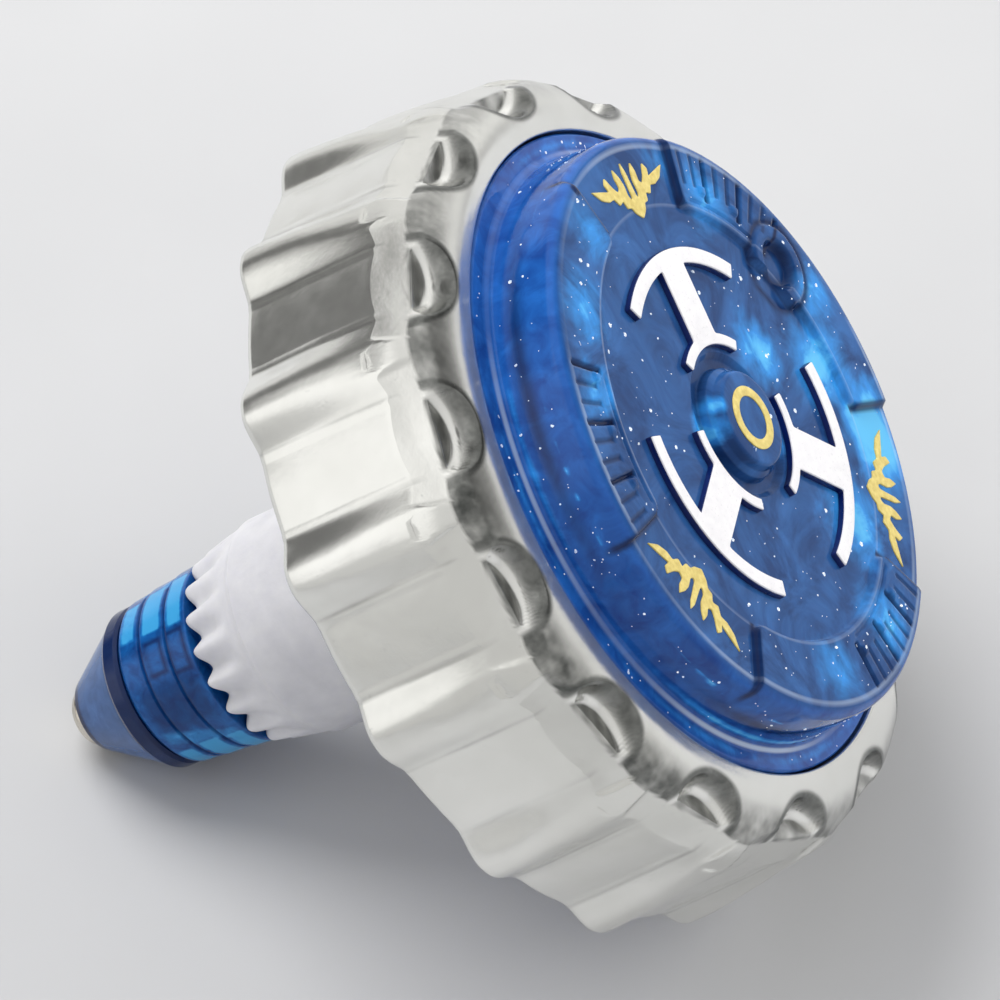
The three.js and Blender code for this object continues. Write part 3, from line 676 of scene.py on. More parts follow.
def build_ring():
    angles = ring_angles(FLUTE_COUNT * 60, START_ANGLE)
    edge = 0.55                                  # rounding of the bottom edge
    edge_z = RING_BOTTOM + edge
    crown = 21.1                                 # inner radius of the domed top
    bottom_radius = side_radius(angles, RING_BOTTOM)
    top_radius = side_radius(angles, 42.0)
    top = ring_height(top_radius, angles)
    bore = dense(soften(BORE_LIP, 0.3) + soften(RING_BORE, 0.2), 0.9)
    rings = [circle(radius, z, angles) for radius, z in bore[:-1]]
    for share in np.linspace(0, 1, 6):
        turn = share * math.pi / 2
        rings.append(circle(bottom_radius - edge + edge * math.sin(turn),
                            RING_BOTTOM + edge * (1 - math.cos(turn)), angles))
    for share in np.linspace(0, 1, 19)[1:] ** 0.9:
        z = edge_z + (top - edge_z) * share
        radius = side_radius(angles, z) * (1 - share ** 6) + top_radius * share ** 6
        rings.append(circle(radius, z, angles))
    for share in np.linspace(1, 0, 50)[1:]:
        radius = crown + (top_radius - crown) * math.sin(share * math.pi / 2)
        rings.append(circle(radius, ring_height(radius, angles), angles))
    for radius in (20.97, 20.82, 20.68):
        rings.append(circle(radius, ring_height(radius, angles), angles))
    verts, faces = stitch(rings, closed=True)
    roughen_casting(verts)
    finish(make("ring_casting", verts, faces, fields=ring_fields(verts)),
           "rotor", "plated_ring", "flywheel_ring")


# ---------------------------------------------------------------- top cover
def sector_distance(radius, degrees):
    """Rough signed distance in mm to the nearest raised sector, below 0 on it."""
    corner = 0.9
    best = np.full(np.shape(degrees), 99.0)
    for centre in SECTOR_ANGLES:
        past_end = np.radians(np.abs(wrap(degrees - centre)) - SECTOR_HALF) * radius + corner
        inside = SECTOR_INNER - radius + corner
        best = np.minimum(best, np.hypot(np.maximum(inside, 0), np.maximum(past_end, 0))
                          + np.minimum(np.maximum(inside, past_end), 0) - corner)
    return best


def cover_relief(radius, degrees):
    """Height added to the cover's face and rim."""
    relief = SECTOR_RAISE * fall(sector_distance(radius, degrees), -0.10, 0.10)
    for centre in SECTOR_ANGLES:
        turn = wrap(degrees - centre)
        for slot, deep in SLOTS:
            width, depth, start, _ = SLOT_SHAPE[deep]
            across = np.abs(np.radians(turn - slot) * radius)
            gate = ease(radius, start - 0.1, start + 0.1) * fall(radius, 17.2, 17.5)
            relief = relief - depth * fall(across, width * 0.5, width * 1.6) * gate
            if deep:                             # small square stud beside the slot
                across = np.abs(np.radians(turn - slot - 1.9) * radius)
                reach = np.maximum(across, np.abs(radius - 15.1))
                relief = relief + 0.16 * fall(reach, 0.22, 0.36)
        # fine arc along the inner ends of the slots
        arc = fall(np.abs(radius - 14.15), 0.05, 0.16)
        relief = relief - 0.12 * arc * ease(turn, 5.0, 6.0) * fall(turn, 36.0, 37.0)
    # raised ring round the post end on the first sector
    angle = np.radians(degrees)
    gap = distance_to(radius * np.cos(angle), radius * np.sin(angle), *POST_END)
    inside = fall(gap, 2.6, 2.8)
    post = (SECTOR_RAISE * 0.9 + 0.18 * fall(np.abs(gap - 2.05), 0.35, 0.55)
            - 0.42 * fall(gap, 1.25, 1.55))
    return relief * (1 - inside) + post * inside


# painted light patches in the cover, for light seen through the clear plastic: angle, radius,
# reach, strength
PAINTED_LIGHT_PATCHES = [
    (345, 15.4, 6.5, 1.0), (316, 11.5, 5.5, 0.85), (5, 12.0, 5.5, 0.95), (28, 7.0, 4.2, 0.85),
    (292, 15.2, 5.0, 0.75), (262, 15.4, 4.6, 0.65), (140, 15.2, 4.2, 0.75),
    (160, 15.0, 4.0, 0.7), (118, 15.5, 3.6, 0.6), (60, 14.8, 4.6, 0.7), (175, 4.0, 2.2, 0.95),
    (330, 3.9, 1.8, 0.7), (75, 16.6, 2.6, 0.5), (20, 15.0, 3.8, 0.7), (150, 3.1, 1.2, 0.9)]
GATE_MARK = (17.55, 112.5)         # radius, angle of a small moulding mark on the rim


def cover_painted_shade(x, y, z, radius, degrees):
    """Painted shade in the slots, at the sector ends, round the post end and in the trough round
    the boss.
    """
    shade_and_mark = 0.6 * bell(radius, 3.85, 0.35)
    for centre in SECTOR_ANGLES:
        turn = wrap(degrees - centre)
        for slot, deep in SLOTS:
            _, _, start, shade_strength = SLOT_SHAPE[deep]
            across = np.abs(np.radians(turn - slot) * radius)
            gate = (radius > start) & (radius < 17.45)
            shade_and_mark = np.maximum(shade_and_mark, shade_strength * fall(across, 0.05, 0.30) * gate)
        end = np.radians(np.abs(np.abs(turn) - SECTOR_HALF)) * radius
        shade_and_mark = np.maximum(shade_and_mark, 0.9 * fall(end, 0.05, 0.42) * (radius > 13.6))
    gap = distance_to(x, y, *POST_END)
    shade_and_mark = np.maximum(shade_and_mark, 0.85 * bell(gap, 2.75, 0.3) + 0.8 * bell(gap, 1.25, 0.45))
    return shade_and_mark * ease(z, 47.0, 48.3)


def cover_fields(verts):
    """Painted light, painted shade and painted highlight lines on the cover, and a dark moulding
    mark on its rim.
    """
    radius, angle, z = cylindrical(verts)
    x, y = verts[:, 0], verts[:, 1]
    painted_light = np.zeros(len(verts))
    for place, light_radius, reach, strength in PAINTED_LIGHT_PATCHES:
        gap = distance_to(x, y, light_radius, place)
        painted_light = np.maximum(painted_light, strength * bell(gap, 0, reach * 0.62))
    face = ease(z, 48.2, 48.7) * fall(radius, 17.6, 18.1)
    painted_light *= face
    wall = 1 - face
    # bands that follow the drum wall round, stronger and weaker by turns, for painted light,
    # painted shade and painted highlight lines
    rim = np.c_[np.cos(angle) * 14, np.sin(angle) * 14, 0 * z]
    low_band = np.clip(0.45 + 0.8 * waves(rim, 15.0, 21), 0.05, 1)
    high_band = np.clip(0.5 + 0.8 * waves(rim, 11.0, 22), 0.05, 1)
    shade_band = np.clip(0.5 + 0.8 * waves(rim, 17.0, 23), 0.0, 1)
    speck = np.clip(0.5 + 0.9 * waves(np.c_[rim[:, :2], z], 0.9, 24), 0, 1)
    drum = wall * (radius > 18.0) * (z > 44.8)
    painted_light += drum * (0.95 * bell(z, 45.55, 0.30) * low_band
                    + 0.9 * bell(z, 47.5, 0.17) * high_band * speck)
    # painted light on the brim
    painted_light += 0.5 * high_band * bell(radius, 19.3, 0.4) * (z < 44.95) * (z > 44.5)
    # painted highlight lines at the drum's foot, along the rim's edge and at the sectors' inner
    # edge
    foot = (radius > 18.5) * (radius < 18.8) * (z < 45.1) * (z > 44.8)
    highlight_line = 0.85 * low_band * foot
    highlight_line = np.maximum(highlight_line, 0.55 * high_band * bell(radius, 17.42, 0.07) * (z > 48.8))
    highlight_line = np.maximum(highlight_line, 0.25 * bell(radius, 13.75, 0.06) * (z > 48.8))
    shade_and_mark = cover_painted_shade(x, y, z, radius, np.degrees(angle) % 360)
    # painted shade band round the middle of the drum wall
    shade_and_mark = np.maximum(shade_and_mark, drum * bell(z, 46.65, 0.5) * shade_band * 0.75)
    gate = fall(distance_to(x, y, *GATE_MARK), 0.3, 0.5)
    shade_and_mark = np.maximum(shade_and_mark, 0.9 * gate * (z > 48.0))
    return {"painted_light": np.clip(painted_light, 0, 1), "shade_and_mark": np.clip(shade_and_mark, 0, 1),
            "wall": np.clip(wall, 0, 1), "highlight_line": np.clip(highlight_line * (1 - shade_and_mark), 0, 1)}


# radius, z, rounding: the centre boss, then the drum wall, brim and inside
COVER_BOSS = [(0, 50.08), (2.95, 50.08, 0.3), (3.12, 49.5, 0.2), (3.45, 49.25, 0.2),
              (3.55, 48.62, 0.15), (4.2, 48.62, 0.2), (4.55, FACE_Z, 0.15), (4.9, FACE_Z)]
COVER_SIDE = [(18.22, 48.3), (18.30, 47.2, 0), (18.46, 45.2, 0.25), (18.95, 44.87, 0.2),
              (19.85, 44.87, 0.15), (20.0, 44.7, 0.1), (20.0, 42.66, 0.12),
              (16.75, 42.66, 0.1), (16.6, 42.9, 0.1), (16.6, 46.9, 0.5), (15.9, 47.6, 0.5),
              (0, 47.6)]


def cover_side_step(start, end):
    """Close rows on the visible wall, wide ones elsewhere."""
    return 0.19 if min(start[0], end[0]) > 18.0 and max(start[1], end[1]) > 44.8 else 1.8


def build_cover():
    angles = ring_angles(720)
    degrees = np.degrees(angles)
    edge, edge_radius = 0.62, 17.6               # rounding of the rim and its centre
    rows = dense(soften(COVER_BOSS, 0.2), 0.45)
    rows += [(radius, FACE_Z) for radius in np.arange(5.3, 12.9, 0.42)]
    for radius in np.arange(12.95, 17.56, 0.105):
        rows.append((radius, FACE_Z + cover_relief(radius, degrees)))
    for share in np.linspace(0.0, 1.0, 8)[1:]:
        turn = share * math.radians(84)
        radius = edge_radius + edge * math.sin(turn)
        z = FACE_Z - edge + edge * math.cos(turn)
        rows.append((radius, z + cover_relief(radius, degrees) * (1 - 0.45 * share)))
    for radius, z in dense(dense(soften(COVER_SIDE, 0.15), 9.0), cover_side_step):
        if radius > 18 and z > 46.6:             # the relief fades out down the wall
            z = z + cover_relief(17.9, degrees) * 0.5 * (z - 46.6) / 1.7
        rows.append((radius, z))
    verts, faces = stitch([circle(radius, z, angles) for radius, z in rows], closed=False)
    finish(make("cover_shell", verts, faces, fields=cover_fields(verts)),
           "rotor", "glitter_cover", "top_cover")


# ---------------------------------------------------------------- prints on the cover
def mark_outline():
    """Mark about +X: a long outer arc, a short inner arc and the stem between them."""
    half = 1.42
    outer, outer_edge, inner_edge, inner = 11.0, 9.95, 5.6, 4.85
    outer_turn = math.degrees(math.asin(half / outer_edge))
    inner_turn = math.degrees(math.asin(half / inner_edge))

    def arc(radius, start, end, count):
        return [polar(radius, turn) for turn in np.linspace(start, end, count)]

    points = arc(outer, -38, 38, 60) + arc(outer_edge, 38, outer_turn, 24)
    points += [(x, half) for x in np.linspace(9.7, 5.7, 12)]
    points += arc(inner_edge, inner_turn, 37, 14) + arc(inner, 37, -37, 40)
    points += arc(inner_edge, -37, -inner_turn, 14)
    points += [(x, -half) for x in np.linspace(5.7, 9.7, 12)]
    points += arc(outer_edge, -outer_turn, -38, 24)
    return smooth_outline(points, 0.085, 0.06)


# half of a winged flame: x across, y up
FLAME_HALF = [
    (0.0, 1.75), (0.20, 1.15), (0.24, 0.2), (0.27, -0.42), (0.46, -0.55), (0.66, -0.25),
    (0.62, 0.45), (0.80, 1.0), (1.18, 1.55), (1.36, 0.95), (1.26, 0.35), (1.6, 0.15),
    (2.0, 0.5), (2.5, 1.25), (2.82, 0.85), (2.62, 0.38), (3.3, 0.52), (4.6, 0.75),
    (3.8, 0.05), (3.0, -0.2), (2.4, -0.12), (2.0, -0.62), (1.5, -0.42), (1.3, -0.95),
    (0.86, -0.98), (0.62, -1.38), (0.0, -1.8)]


def build_marks():
    outline = mark_outline()
    pads = []
    for letter, angle in zip("abc", MARK_ANGLES):
        verts, faces = plate(outline, FACE_Z - 0.25, FACE_Z + 0.36, bevel=0.05, flare=0.03)
        pads.append((turned(verts, angle), faces))
        verts, faces = plate(inset(outline, 0.035), FACE_Z + 0.33, FACE_Z + 0.45, bevel=0.05)
        finish(make("white_print_" + letter, turned(verts, angle), faces, sharp=50),
               "rotor", "white_print", "white_mark_" + letter)
    # the pads take the darker painted shade copy of the cover's plastic
    finish(make("mark_pads", *merge(pads), sharp=50), "rotor", "glitter_cover",
           look="shaded_cover_pads")


def build_flames():
    mirrored = [(-x, y) for x, y in reversed(FLAME_HALF[1:-1])]
    flame = smooth_outline(FLAME_HALF + mirrored, 0.075, 0.05)
    outline = np.stack([14.95 + flame[:, 1], -flame[:, 0]], 1)   # its up points outwards
    for letter, angle in zip("abc", MARK_ANGLES):
        verts, faces = plate(outline, FACE_Z - 0.03, FACE_Z + 0.09, bevel=0.04)
        finish(make("flame_print_" + letter, turned(verts, angle), faces, sharp=50),
               "rotor", "gold_print", "gold_emblem_" + letter)


def build_centre_print():
    profile = [(1.35, 50.06), (1.35, 50.15), (1.98, 50.15), (1.98, 50.06)]
    verts, faces = revolve(soften(profile, 0.03, loop=True, segs=3), 96)
    finish(make("centre_print", verts, faces, sharp=50), "rotor", "gold_print",
           "gold_centre_ring")


# ---------------------------------------------------------------- glitter
def on_print(radius, degrees):
    """True on the boss's edge, a mark, a flame or a sector's edge, where no flake lies."""
    turn = min(abs(wrap(degrees - mark)) for mark in MARK_ANGLES)
    return (2.7 < radius < 4.9
            or (4.6 < radius < 11.3 and turn * math.pi / 180 * radius < 1.7)
            or ((9.7 < radius < 11.3 or 4.6 < radius < 5.9) and turn < 40)
            or (12.8 < radius < 17.2 and turn < 17)
            or abs(float(sector_distance(radius, degrees))) < 0.3)


def build_glitter():
    random = np.random.RandomState(20)
    parts = []

    def flake(centre, normal, size):
        """Thin hexagon, tilted a little at random."""
        normal = Vector(normal) + Vector(random.normal(size=3)) * 0.22
        normal.normalize()
        across = normal.orthogonal().normalized()
        other = normal.cross(across)
        start = random.rand() * TAU
        verts = []
        for lift in (-0.012, 0.012):
            for i in range(6):
                turn = start + i * TAU / 6
                spoke = across * math.cos(turn) + other * math.sin(turn)
                verts.append(tuple(Vector(centre) + spoke * size + normal * lift))
        faces = [(5, 4, 3, 2, 1, 0), (6, 7, 8, 9, 10, 11)]
        faces += [(i, (i + 1) % 6, 6 + (i + 1) % 6, 6 + i) for i in range(6)]
        parts.append((np.array(verts), faces))

    for _ in range(430):                         # on the face
        radius, degrees = 17.2 * math.sqrt(random.rand()), random.rand() * 360
        size = 0.03 + 0.14 * random.rand() ** 4
        if on_print(radius, degrees):
            continue
        z = 50.085 if radius < 2.7 else FACE_Z + float(cover_relief(radius, degrees)) + 0.006
        flake((*polar(radius, degrees), z), (0, 0, 1), size)
    for _ in range(190):                         # on the drum wall
        turn, z = random.rand() * TAU, 45.4 + 2.8 * random.rand()
        radius = 18.45 - (z - 45.2) * 0.075 + 0.012
        size = 0.03 + 0.11 * random.rand() ** 4
        cos, sin = math.cos(turn), math.sin(turn)
        flake((radius * cos, radius * sin, z), (cos, sin, 0.06), size)
    for _ in range(60):                          # on the brim
        turn, radius = random.rand() * TAU, 19.0 + 0.7 * random.rand()
        flake((radius * math.cos(turn), radius * math.sin(turn), 44.876), (0, 0, 1),
              0.04 + 0.08 * random.rand() ** 3)
    finish(make("glitter_flakes", *merge(parts), smooth=False), "rotor", "glitter_cover",
           look="glitter_flakes")


# ---------------------------------------------------------------- lower housing and sleeve
def cutter(name, radius, bottom, top, place, count=48):
    """Closed cylinder at place (x, y), for cutting."""
    verts, faces = revolve([(0, bottom), (radius, bottom), (radius, top), (0, top)], count)
    return make(name, verts + np.array([*place, 0]), faces)


# radius, z, rounding
HOUSING = [
    (0, 29.35), (9.9, 29.35), (10.35, 29.6), (10.35, 33.0, 0.5), (11.2, 33.45, 0.3),
    (16.4, 34.55, 0.5), (17.6, 35.7, 0.5), (17.6, 37.4, 0.25), (20.25, 37.4, 0.25),
    (20.25, 39.97), (17.6, 39.97, 0.1), (17.6, 42.48, 0.15), (16.05, 42.48, 0.15),
    (16.05, 36.8, 0.4), (15.2, 36.0, 0.4), (10.0, 35.0, 0.4), (7.3, 35.0), (7.3, 40.0, 0.1),
    (6.15, 40.0, 0.1), (6.15, 30.5, 0.1), (0, 30.5)]
SCREW_POST = [(1.15, CASE_SCREW_Z), (1.15, 42.5), (2.6, 42.5), (2.6, CASE_SCREW_Z),
              (3.0, 36.6), (2.25, 36.6), (2.25, CASE_SCREW_Z)]


def build_housing():
    shell = lathe("housing_shell", HOUSING, 288, 0.2)
    tools = [cutter("tool_a%d" % i, 2.2, 30.0, 37.95, polar(CASE_SCREW_RADIUS, angle))
             for i, angle in enumerate(CASE_SCREW_ANGLES)]
    tools += [cutter("tool_b%d" % i, 0.85, 28.0, 33.6, polar(SLEEVE_SCREW_RADIUS, angle), 32)
              for i, angle in enumerate(SLEEVE_SCREW_ANGLES)]
    finish(cut(shell, tools), "rotor", "blue_clear", "lower_housing")


def build_screw_posts():
    verts, faces = revolve(soften(SCREW_POST, 0.1, loop=True, segs=3), 48)
    posts = [(verts + np.array([*polar(CASE_SCREW_RADIUS, angle), 0]), faces)
             for angle in CASE_SCREW_ANGLES]
    finish(make("screw_posts", *merge(posts), sharp=40), "rotor", "blue_clear")


def tooth_wave(angles):
    """0 on a drive tooth's crest, 1 in the gap, one flank steeper than the other."""
    share = ((np.degrees(angles) - START_ANGLE) / 20.0) % 1.0
    ramp = np.where(share < 0.62, share / 0.62, (1 - share) / 0.38)
    return 0.5 - 0.5 * np.cos(ramp * math.pi)


# radius, z, rounding: up the bore past its inner step, over the flange and down outside
SLEEVE = [
    (4.75, 12.45), (4.7, 12.7, 0.1), (4.7, 24.1, 0.1), (1.4, 24.1, 0.05), (1.4, 26.2, 0.05),
    (4.7, 26.2, 0.1), (4.7, 29.28, 0.2), (10.0, 29.28), (10.2, 29.1, 0.1), (10.2, 27.05),
    (10.05, 26.92, 0.1), (7.35, 26.92, 0.5), (6.92, 26.4, 0.3), (6.9, 16.45, 0.12),
    (6.72, 16.2)]
# z, outer radius over the teeth
TOOTH_Z = [12.3, 13.4, 14.6, 15.8, 16.2]
TOOTH_RADIUS = [6.02, 6.26, 6.50, 6.68, 6.74]


def build_sleeve():
    angles = ring_angles(18 * 28, START_ANGLE)
    gap = tooth_wave(angles) * 0.57
    rise, sink = 0.95 * gap, 0.82 * gap          # the gaps are higher and narrower
    tooth_top, crest = 15.95, 12.75
    rings = []
    for radius, z in dense(soften(SLEEVE, 0.15), 1.2):
        lift = rise * fall(z, 12.4, 14.0) if radius < 5 and z < 14 else 0
        rings.append(circle(radius, z + lift, angles))
    for z in np.linspace(tooth_top, crest, 22):
        radius = np.interp(z, TOOTH_Z, TOOTH_RADIUS) - sink * ease(tooth_top - z, 0.0, 2.6)
        share = (z - crest) / 3.2
        rings.append(circle(radius, crest + rise + (tooth_top - crest - rise) * share, angles))
    for share in np.linspace(0, 1, 6)[1:]:
        turn = share * math.pi / 2
        rings.append(circle(6.08 - sink - 0.45 * (1 - math.cos(turn)),
                            crest + rise - 0.42 * math.sin(turn), angles))
    rings.append(circle(5.0, 12.36 + rise, angles))
    verts, faces = stitch(rings, closed=True)
    sleeve = make("sleeve_body", verts, faces)
    tools = []
    for i, angle in enumerate(SLEEVE_SCREW_ANGLES):
        place = polar(SLEEVE_SCREW_RADIUS, angle)
        tools.append(cutter("tool_c%d" % i, 1.5, 26.0, SLEEVE_SCREW_Z, place))
        tools.append(cutter("tool_d%d" % i, 0.95, 27.5, 30.0, place, 32))
    finish(cut(sleeve, tools), "rotor", "white_sleeve", "drive_sleeve")


# ---------------------------------------------------------------- stem, nose and tip
# painted light windows, for inner parts seen lit through the clear wall: strength, angle, half
# width, edge softness in degrees, z, half height
STEM_LIGHT_WINDOWS = [(1.0, -5, 19, 2.2, 9.45, 0.76), (1.0, -3, 20, 2.2, 11.35, 0.62),
                (0.95, -4, 17, 3, 7.5, 0.60)]
# painted shade frames: angle, outer and inner half width, z, outer and inner half height
STEM_SHADE_FRAMES = [(33, 14, 11, 11.2, 0.72, 0.50), (31, 12, 9, 9.4, 0.75, 0.52)]


def stem_fields(verts):
    """Painted light windows and painted shade frames for inner parts seen through the stem's
    clear wall, painted shade in its two grooves and a painted shade band beside each set of
    windows.
    """
    radius, angle, z = cylindrical(verts)
    degrees = np.degrees(angle) % 360
    painted_light = np.zeros(len(verts))
    shade_and_mark = 0.7 * bell(z, 8.34, 0.10) + 0.7 * bell(z, 10.46, 0.10)
    for first in thirds(131):
        turn = wrap(degrees - first)
        for strength, place, half, soft, middle, half_z in STEM_LIGHT_WINDOWS:
            painted_light = np.maximum(painted_light, strength * band(turn, place, half, soft)
                              * band(z, middle, half_z, 0.18))
        # painted light: a slanted lit streak
        slanted = band(turn - 3.0 * (z - 9.0), -30, 7, 3) * band(z, 9.5, 2.4, 0.3)
        painted_light = np.maximum(painted_light, 0.60 * slanted)
        for place, outer, inner, middle, outer_z, inner_z in STEM_SHADE_FRAMES:
            opening = band(turn, place, inner, 1.2) * band(z, middle, inner_z, 0.08)
            filled = band(turn, place, outer, 1.2) * band(z, middle, outer_z, 0.1)
            shade_and_mark = np.maximum(shade_and_mark, 0.8 * filled * (1 - opening))
        shade_and_mark = np.maximum(shade_and_mark, 0.55 * band(turn, 64, 16, 7) * band(z, 9.6, 2.2, 0.4))
    return {"painted_light": np.clip(painted_light * (radius > 4.9) * (z > 6.8), 0, 1),
            "shade_and_mark": np.clip(shade_and_mark * (radius > 4.9), 0, 1),
            "wall": np.ones(len(verts)), "highlight_line": np.zeros(len(verts))}


def nose_fields(verts):
    radius, angle, z = cylindrical(verts)
    # painted shade at the top under the stem and near the tip, and a painted light band round the
    # middle
    shade_and_mark = np.maximum(0.85 * ease(z, 5.15, 5.35) * (radius > 4.2), 0.95 * fall(z, 1.25, 1.65))
    rim = np.c_[np.cos(angle) * 5, np.sin(angle) * 5, z * 0.5]
    painted_light = 0.5 * bell(z, 3.0, 1.2) * np.clip(0.4 + waves(rim, 5.0, 31), 0, 1)
    return {"painted_light": np.clip(painted_light, 0, 1), "shade_and_mark": np.clip(shade_and_mark, 0, 1),
            "wall": np.ones(len(verts)), "highlight_line": np.zeros(len(verts))}


# radius, z, rounding
STEM = [
    (0, 11.6), (3.0, 11.2, 0.3), (4.05, 10.2, 0.3), (4.05, 6.52), (4.95, 6.52),
    (5.25, 6.85, 0.2), (5.36, 8.2, 0.06), (5.20, 8.32, 0.05), (5.22, 8.46, 0.05),
    (5.46, 8.56, 0.08), (5.56, 10.3, 0.06), (5.40, 10.42, 0.05), (5.42, 10.56, 0.05),
    (5.68, 10.66, 0.08), (5.78, 12.2), (4.6, 12.3), (4.6, 23.9, 0.2), (1.35, 23.95),
    (1.3, 15.0), (0, 14.6)]
NOSE = [
    (2.22, 1.02), (2.38, 1.02), (4.93, 5.25, 0.12), (5.12, 5.45), (5.12, 6.2, 0.12),
    (4.95, 6.42), (3.9, 6.42, 0.1), (3.9, 9.58, 0.15), (2.12, 9.58, 0.1), (2.12, 7.52, 0.05),
    (1.84, 7.52, 0.05), (1.84, 2.12, 0.05), (2.2, 2.12, 0.05)]
TIP_PIN = [
    (0, 0.0), (0.95, 0.0, 0.3), (1.62, 0.14, 0.35), (1.98, 0.62, 0.3), (1.98, 1.66),
    (1.0, 1.7, 0.05), (1.0, 7.93, 0.05), (0.7, 7.96, 0.03), (0.7, 8.38, 0.03),
    (1.0, 8.41, 0.05), (1.0, 8.95, 0.1), (0.75, 9.18, 0.1), (0, 9.18)]
TIP_WASHER = [(1.12, 1.77), (1.93, 1.77, 0.05), (1.93, 2.03, 0.05), (1.12, 2.03)]


def build_stem_and_tip():
    finish(lathe("stem_shell", STEM, 300, 0.1, 0.28, 40, stem_fields),
           "rotor", "blue_clear", "stem_housing", look="stem_clear")
    finish(lathe("nose_shell", NOSE, 180, 0.08, 0.3, 40, nose_fields),
           "rotor", "nose_clear", "nose_cone")
    finish(lathe("tip_steel_pin", TIP_PIN, 96, 0.08, 0.5, 40), "tip", "tip_steel", "tip_pin")
    finish(lathe("thrust_washer", TIP_WASHER, 96, 0.03, sharp=40),
           "tip", "washer_black", "tip_washer")


# ---------------------------------------------------------------- screws
def screw(name, head_radius, head_height, radius, seat, length, place):
    """Pan head screw pointing up, with a wound thread and a cross recess in its head."""
    angles = ring_angles(32)
    pitch = 0.55
    rows = [(0, seat - head_height)]
    for share in np.linspace(0.12, 1, 7)[:-1]:
        turn = share * math.pi / 2
        rows.append((head_radius * math.sin(turn), seat - head_height * math.cos(turn) ** 0.8))
    rows += [(head_radius, seat - head_height * 0.12), (head_radius, seat - 0.04),
             (head_radius - 0.05, seat), (radius, seat)]
    for z in np.arange(seat + 0.1, seat + length - radius * 1.3, 0.09):
        phase = (z / pitch - angles / TAU) % 1.0
        ridge = np.clip(1 - np.abs(phase - 0.5) * 3.2, 0, 1)
        rows.append((radius * (0.80 + 0.20 * ridge), z))
    rows += [(radius * 0.4, seat + length - radius * 0.4), (0, seat + length)]
    verts, faces = stitch([circle(size, z, angles) for size, z in rows], closed=False)
    offset = np.array([*place, 0])
    piece = make(name, verts + offset, faces, sharp=45)
    narrow, wide = head_radius * 0.2, head_radius * 0.62
    tools = []
    for i, (half_x, half_y) in enumerate(((wide, narrow), (narrow, wide))):
        verts = [(sign_x * half_x * taper, sign_y * half_y * taper, z)
                 for taper, z in ((1, seat - head_height - 0.3), (0.6, seat - head_height * 0.5))
                 for sign_x, sign_y in ((1, 1), (-1, 1), (-1, -1), (1, -1))]
        verts = np.array(verts) + offset
        faces = [(3, 2, 1, 0), (4, 5, 6, 7)]
        faces += [(k, (k + 1) % 4, 4 + (k + 1) % 4, 4 + k) for k in range(4)]
        tools.append(make(name + "_t%d" % i, verts, outward(verts, faces), smooth=False))
    return cut(piece, tools)


def build_screws():
    for letter, angle in zip("abc", CASE_SCREW_ANGLES):
        piece = screw("case_screw_" + letter, head_radius=1.9, head_height=1.4, radius=1.0,
                      seat=CASE_SCREW_Z, length=8.6, place=polar(CASE_SCREW_RADIUS, angle))
        finish(piece, "rotor", "screw_steel", "housing_screw_" + letter)
    for letter, angle in zip("abc", SLEEVE_SCREW_ANGLES):
        piece = screw("sleeve_screw_" + letter, head_radius=1.35, head_height=0.95, radius=0.8,
                      seat=SLEEVE_SCREW_Z, length=5.2, place=polar(SLEEVE_SCREW_RADIUS, angle))
        finish(piece, "rotor", "screw_steel", "flange_screw_" + letter)


def dress_nodes():
    """Materials for the CAD nodes, and smooth shading for those that stay in view."""
    slots = {part["node"]: part["material_slot"] for part in frame["record"]["subparts"]}
    for name, node in frame["nodes"].items():
        node.data.materials.clear()
        node.data.materials.append(MATERIALS[slots[name]])
        if not node.hide_render:
            shade_smooth(node.data, 32)


# ---------------------------------------------------------------- stage, metres
def build_floor(name, origin, up, lying):
    """Square floor seen from above only, on the side of the stage that shown() picks."""
    across = up.orthogonal().normalized()
    other = up.cross(across)
    cells, size = 60, 1.6
    verts = [np.array(origin + across * (i / cells - 0.5) * size
                      + other * (j / cells - 0.5) * size) / MM
             for i in range(cells + 1) for j in range(cells + 1)]
    corners = [i * (cells + 1) + j for i in range(cells) for j in range(cells)]
    faces = [(k, k + 1, k + cells + 2, k + cells + 1) for k in corners]
    piece = make(name, verts, faces, smooth=False)
    if piece.data.polygons[0].normal.dot(up) < 0:
        piece.data.flip_normals()
    tree = new_material(name)
    visible = shown(tree, lying)
    geometry = tree.add("ShaderNodeNewGeometry").outputs
    visible = tree.times(visible, tree.minus(1.0, geometry["Backfacing"]))
    if not lying:                                # fades into the backdrop, with no horizon
        reach = tree.add("ShaderNodeVectorMath", {0: geometry["Position"]}, operation="LENGTH")
        visible = tree.times(visible, tree.remap(
            reach.outputs["Value"], between=(0.10, 0.50), to=(1, 0), smooth=True))
    cloud = tree.noise(scale=40, detail=3, rough=0.5)
    dim, pale = (0.56, 0.565, 0.58), (0.585, 0.59, 0.605)
    colour = tree.mix(tree.remap(cloud, between=(0.3, 0.7)), dim, pale)
    tree.output("ShaderNodeOutputMaterial", tree.blend_shaders(
        visible, tree.add("ShaderNodeBsdfTransparent").outputs[0],
        tree.add("ShaderNodeBsdfDiffuse", {"Color": colour}).outputs[0]))
    piece.data.materials.append(MATERIALS[name])


def build_floors():
    # the lying floor touches the tip's edge and the ring's lower rim: radius, z in mm
    contacts = [(25.62, 32.3), (25.3, 31.85), (1.98, 0.6), (1.6, 0.14)]
    towards = Vector((*polar(1.0, -46.9), 0))
    low = min(((towards * radius + Vector((0, 0, z))) * MM).dot(LYING_UP)
              for radius, z in contacts)
    drop = low - MIDDLE.dot(LYING_UP) - FLOOR_GAP
    build_floor("floor_lying", MIDDLE + LYING_UP * drop, LYING_UP, lying=True)
    build_floor("floor_standing", Vector((0, 0, -FLOOR_GAP)), Vector((0, 0, 1)), lying=False)


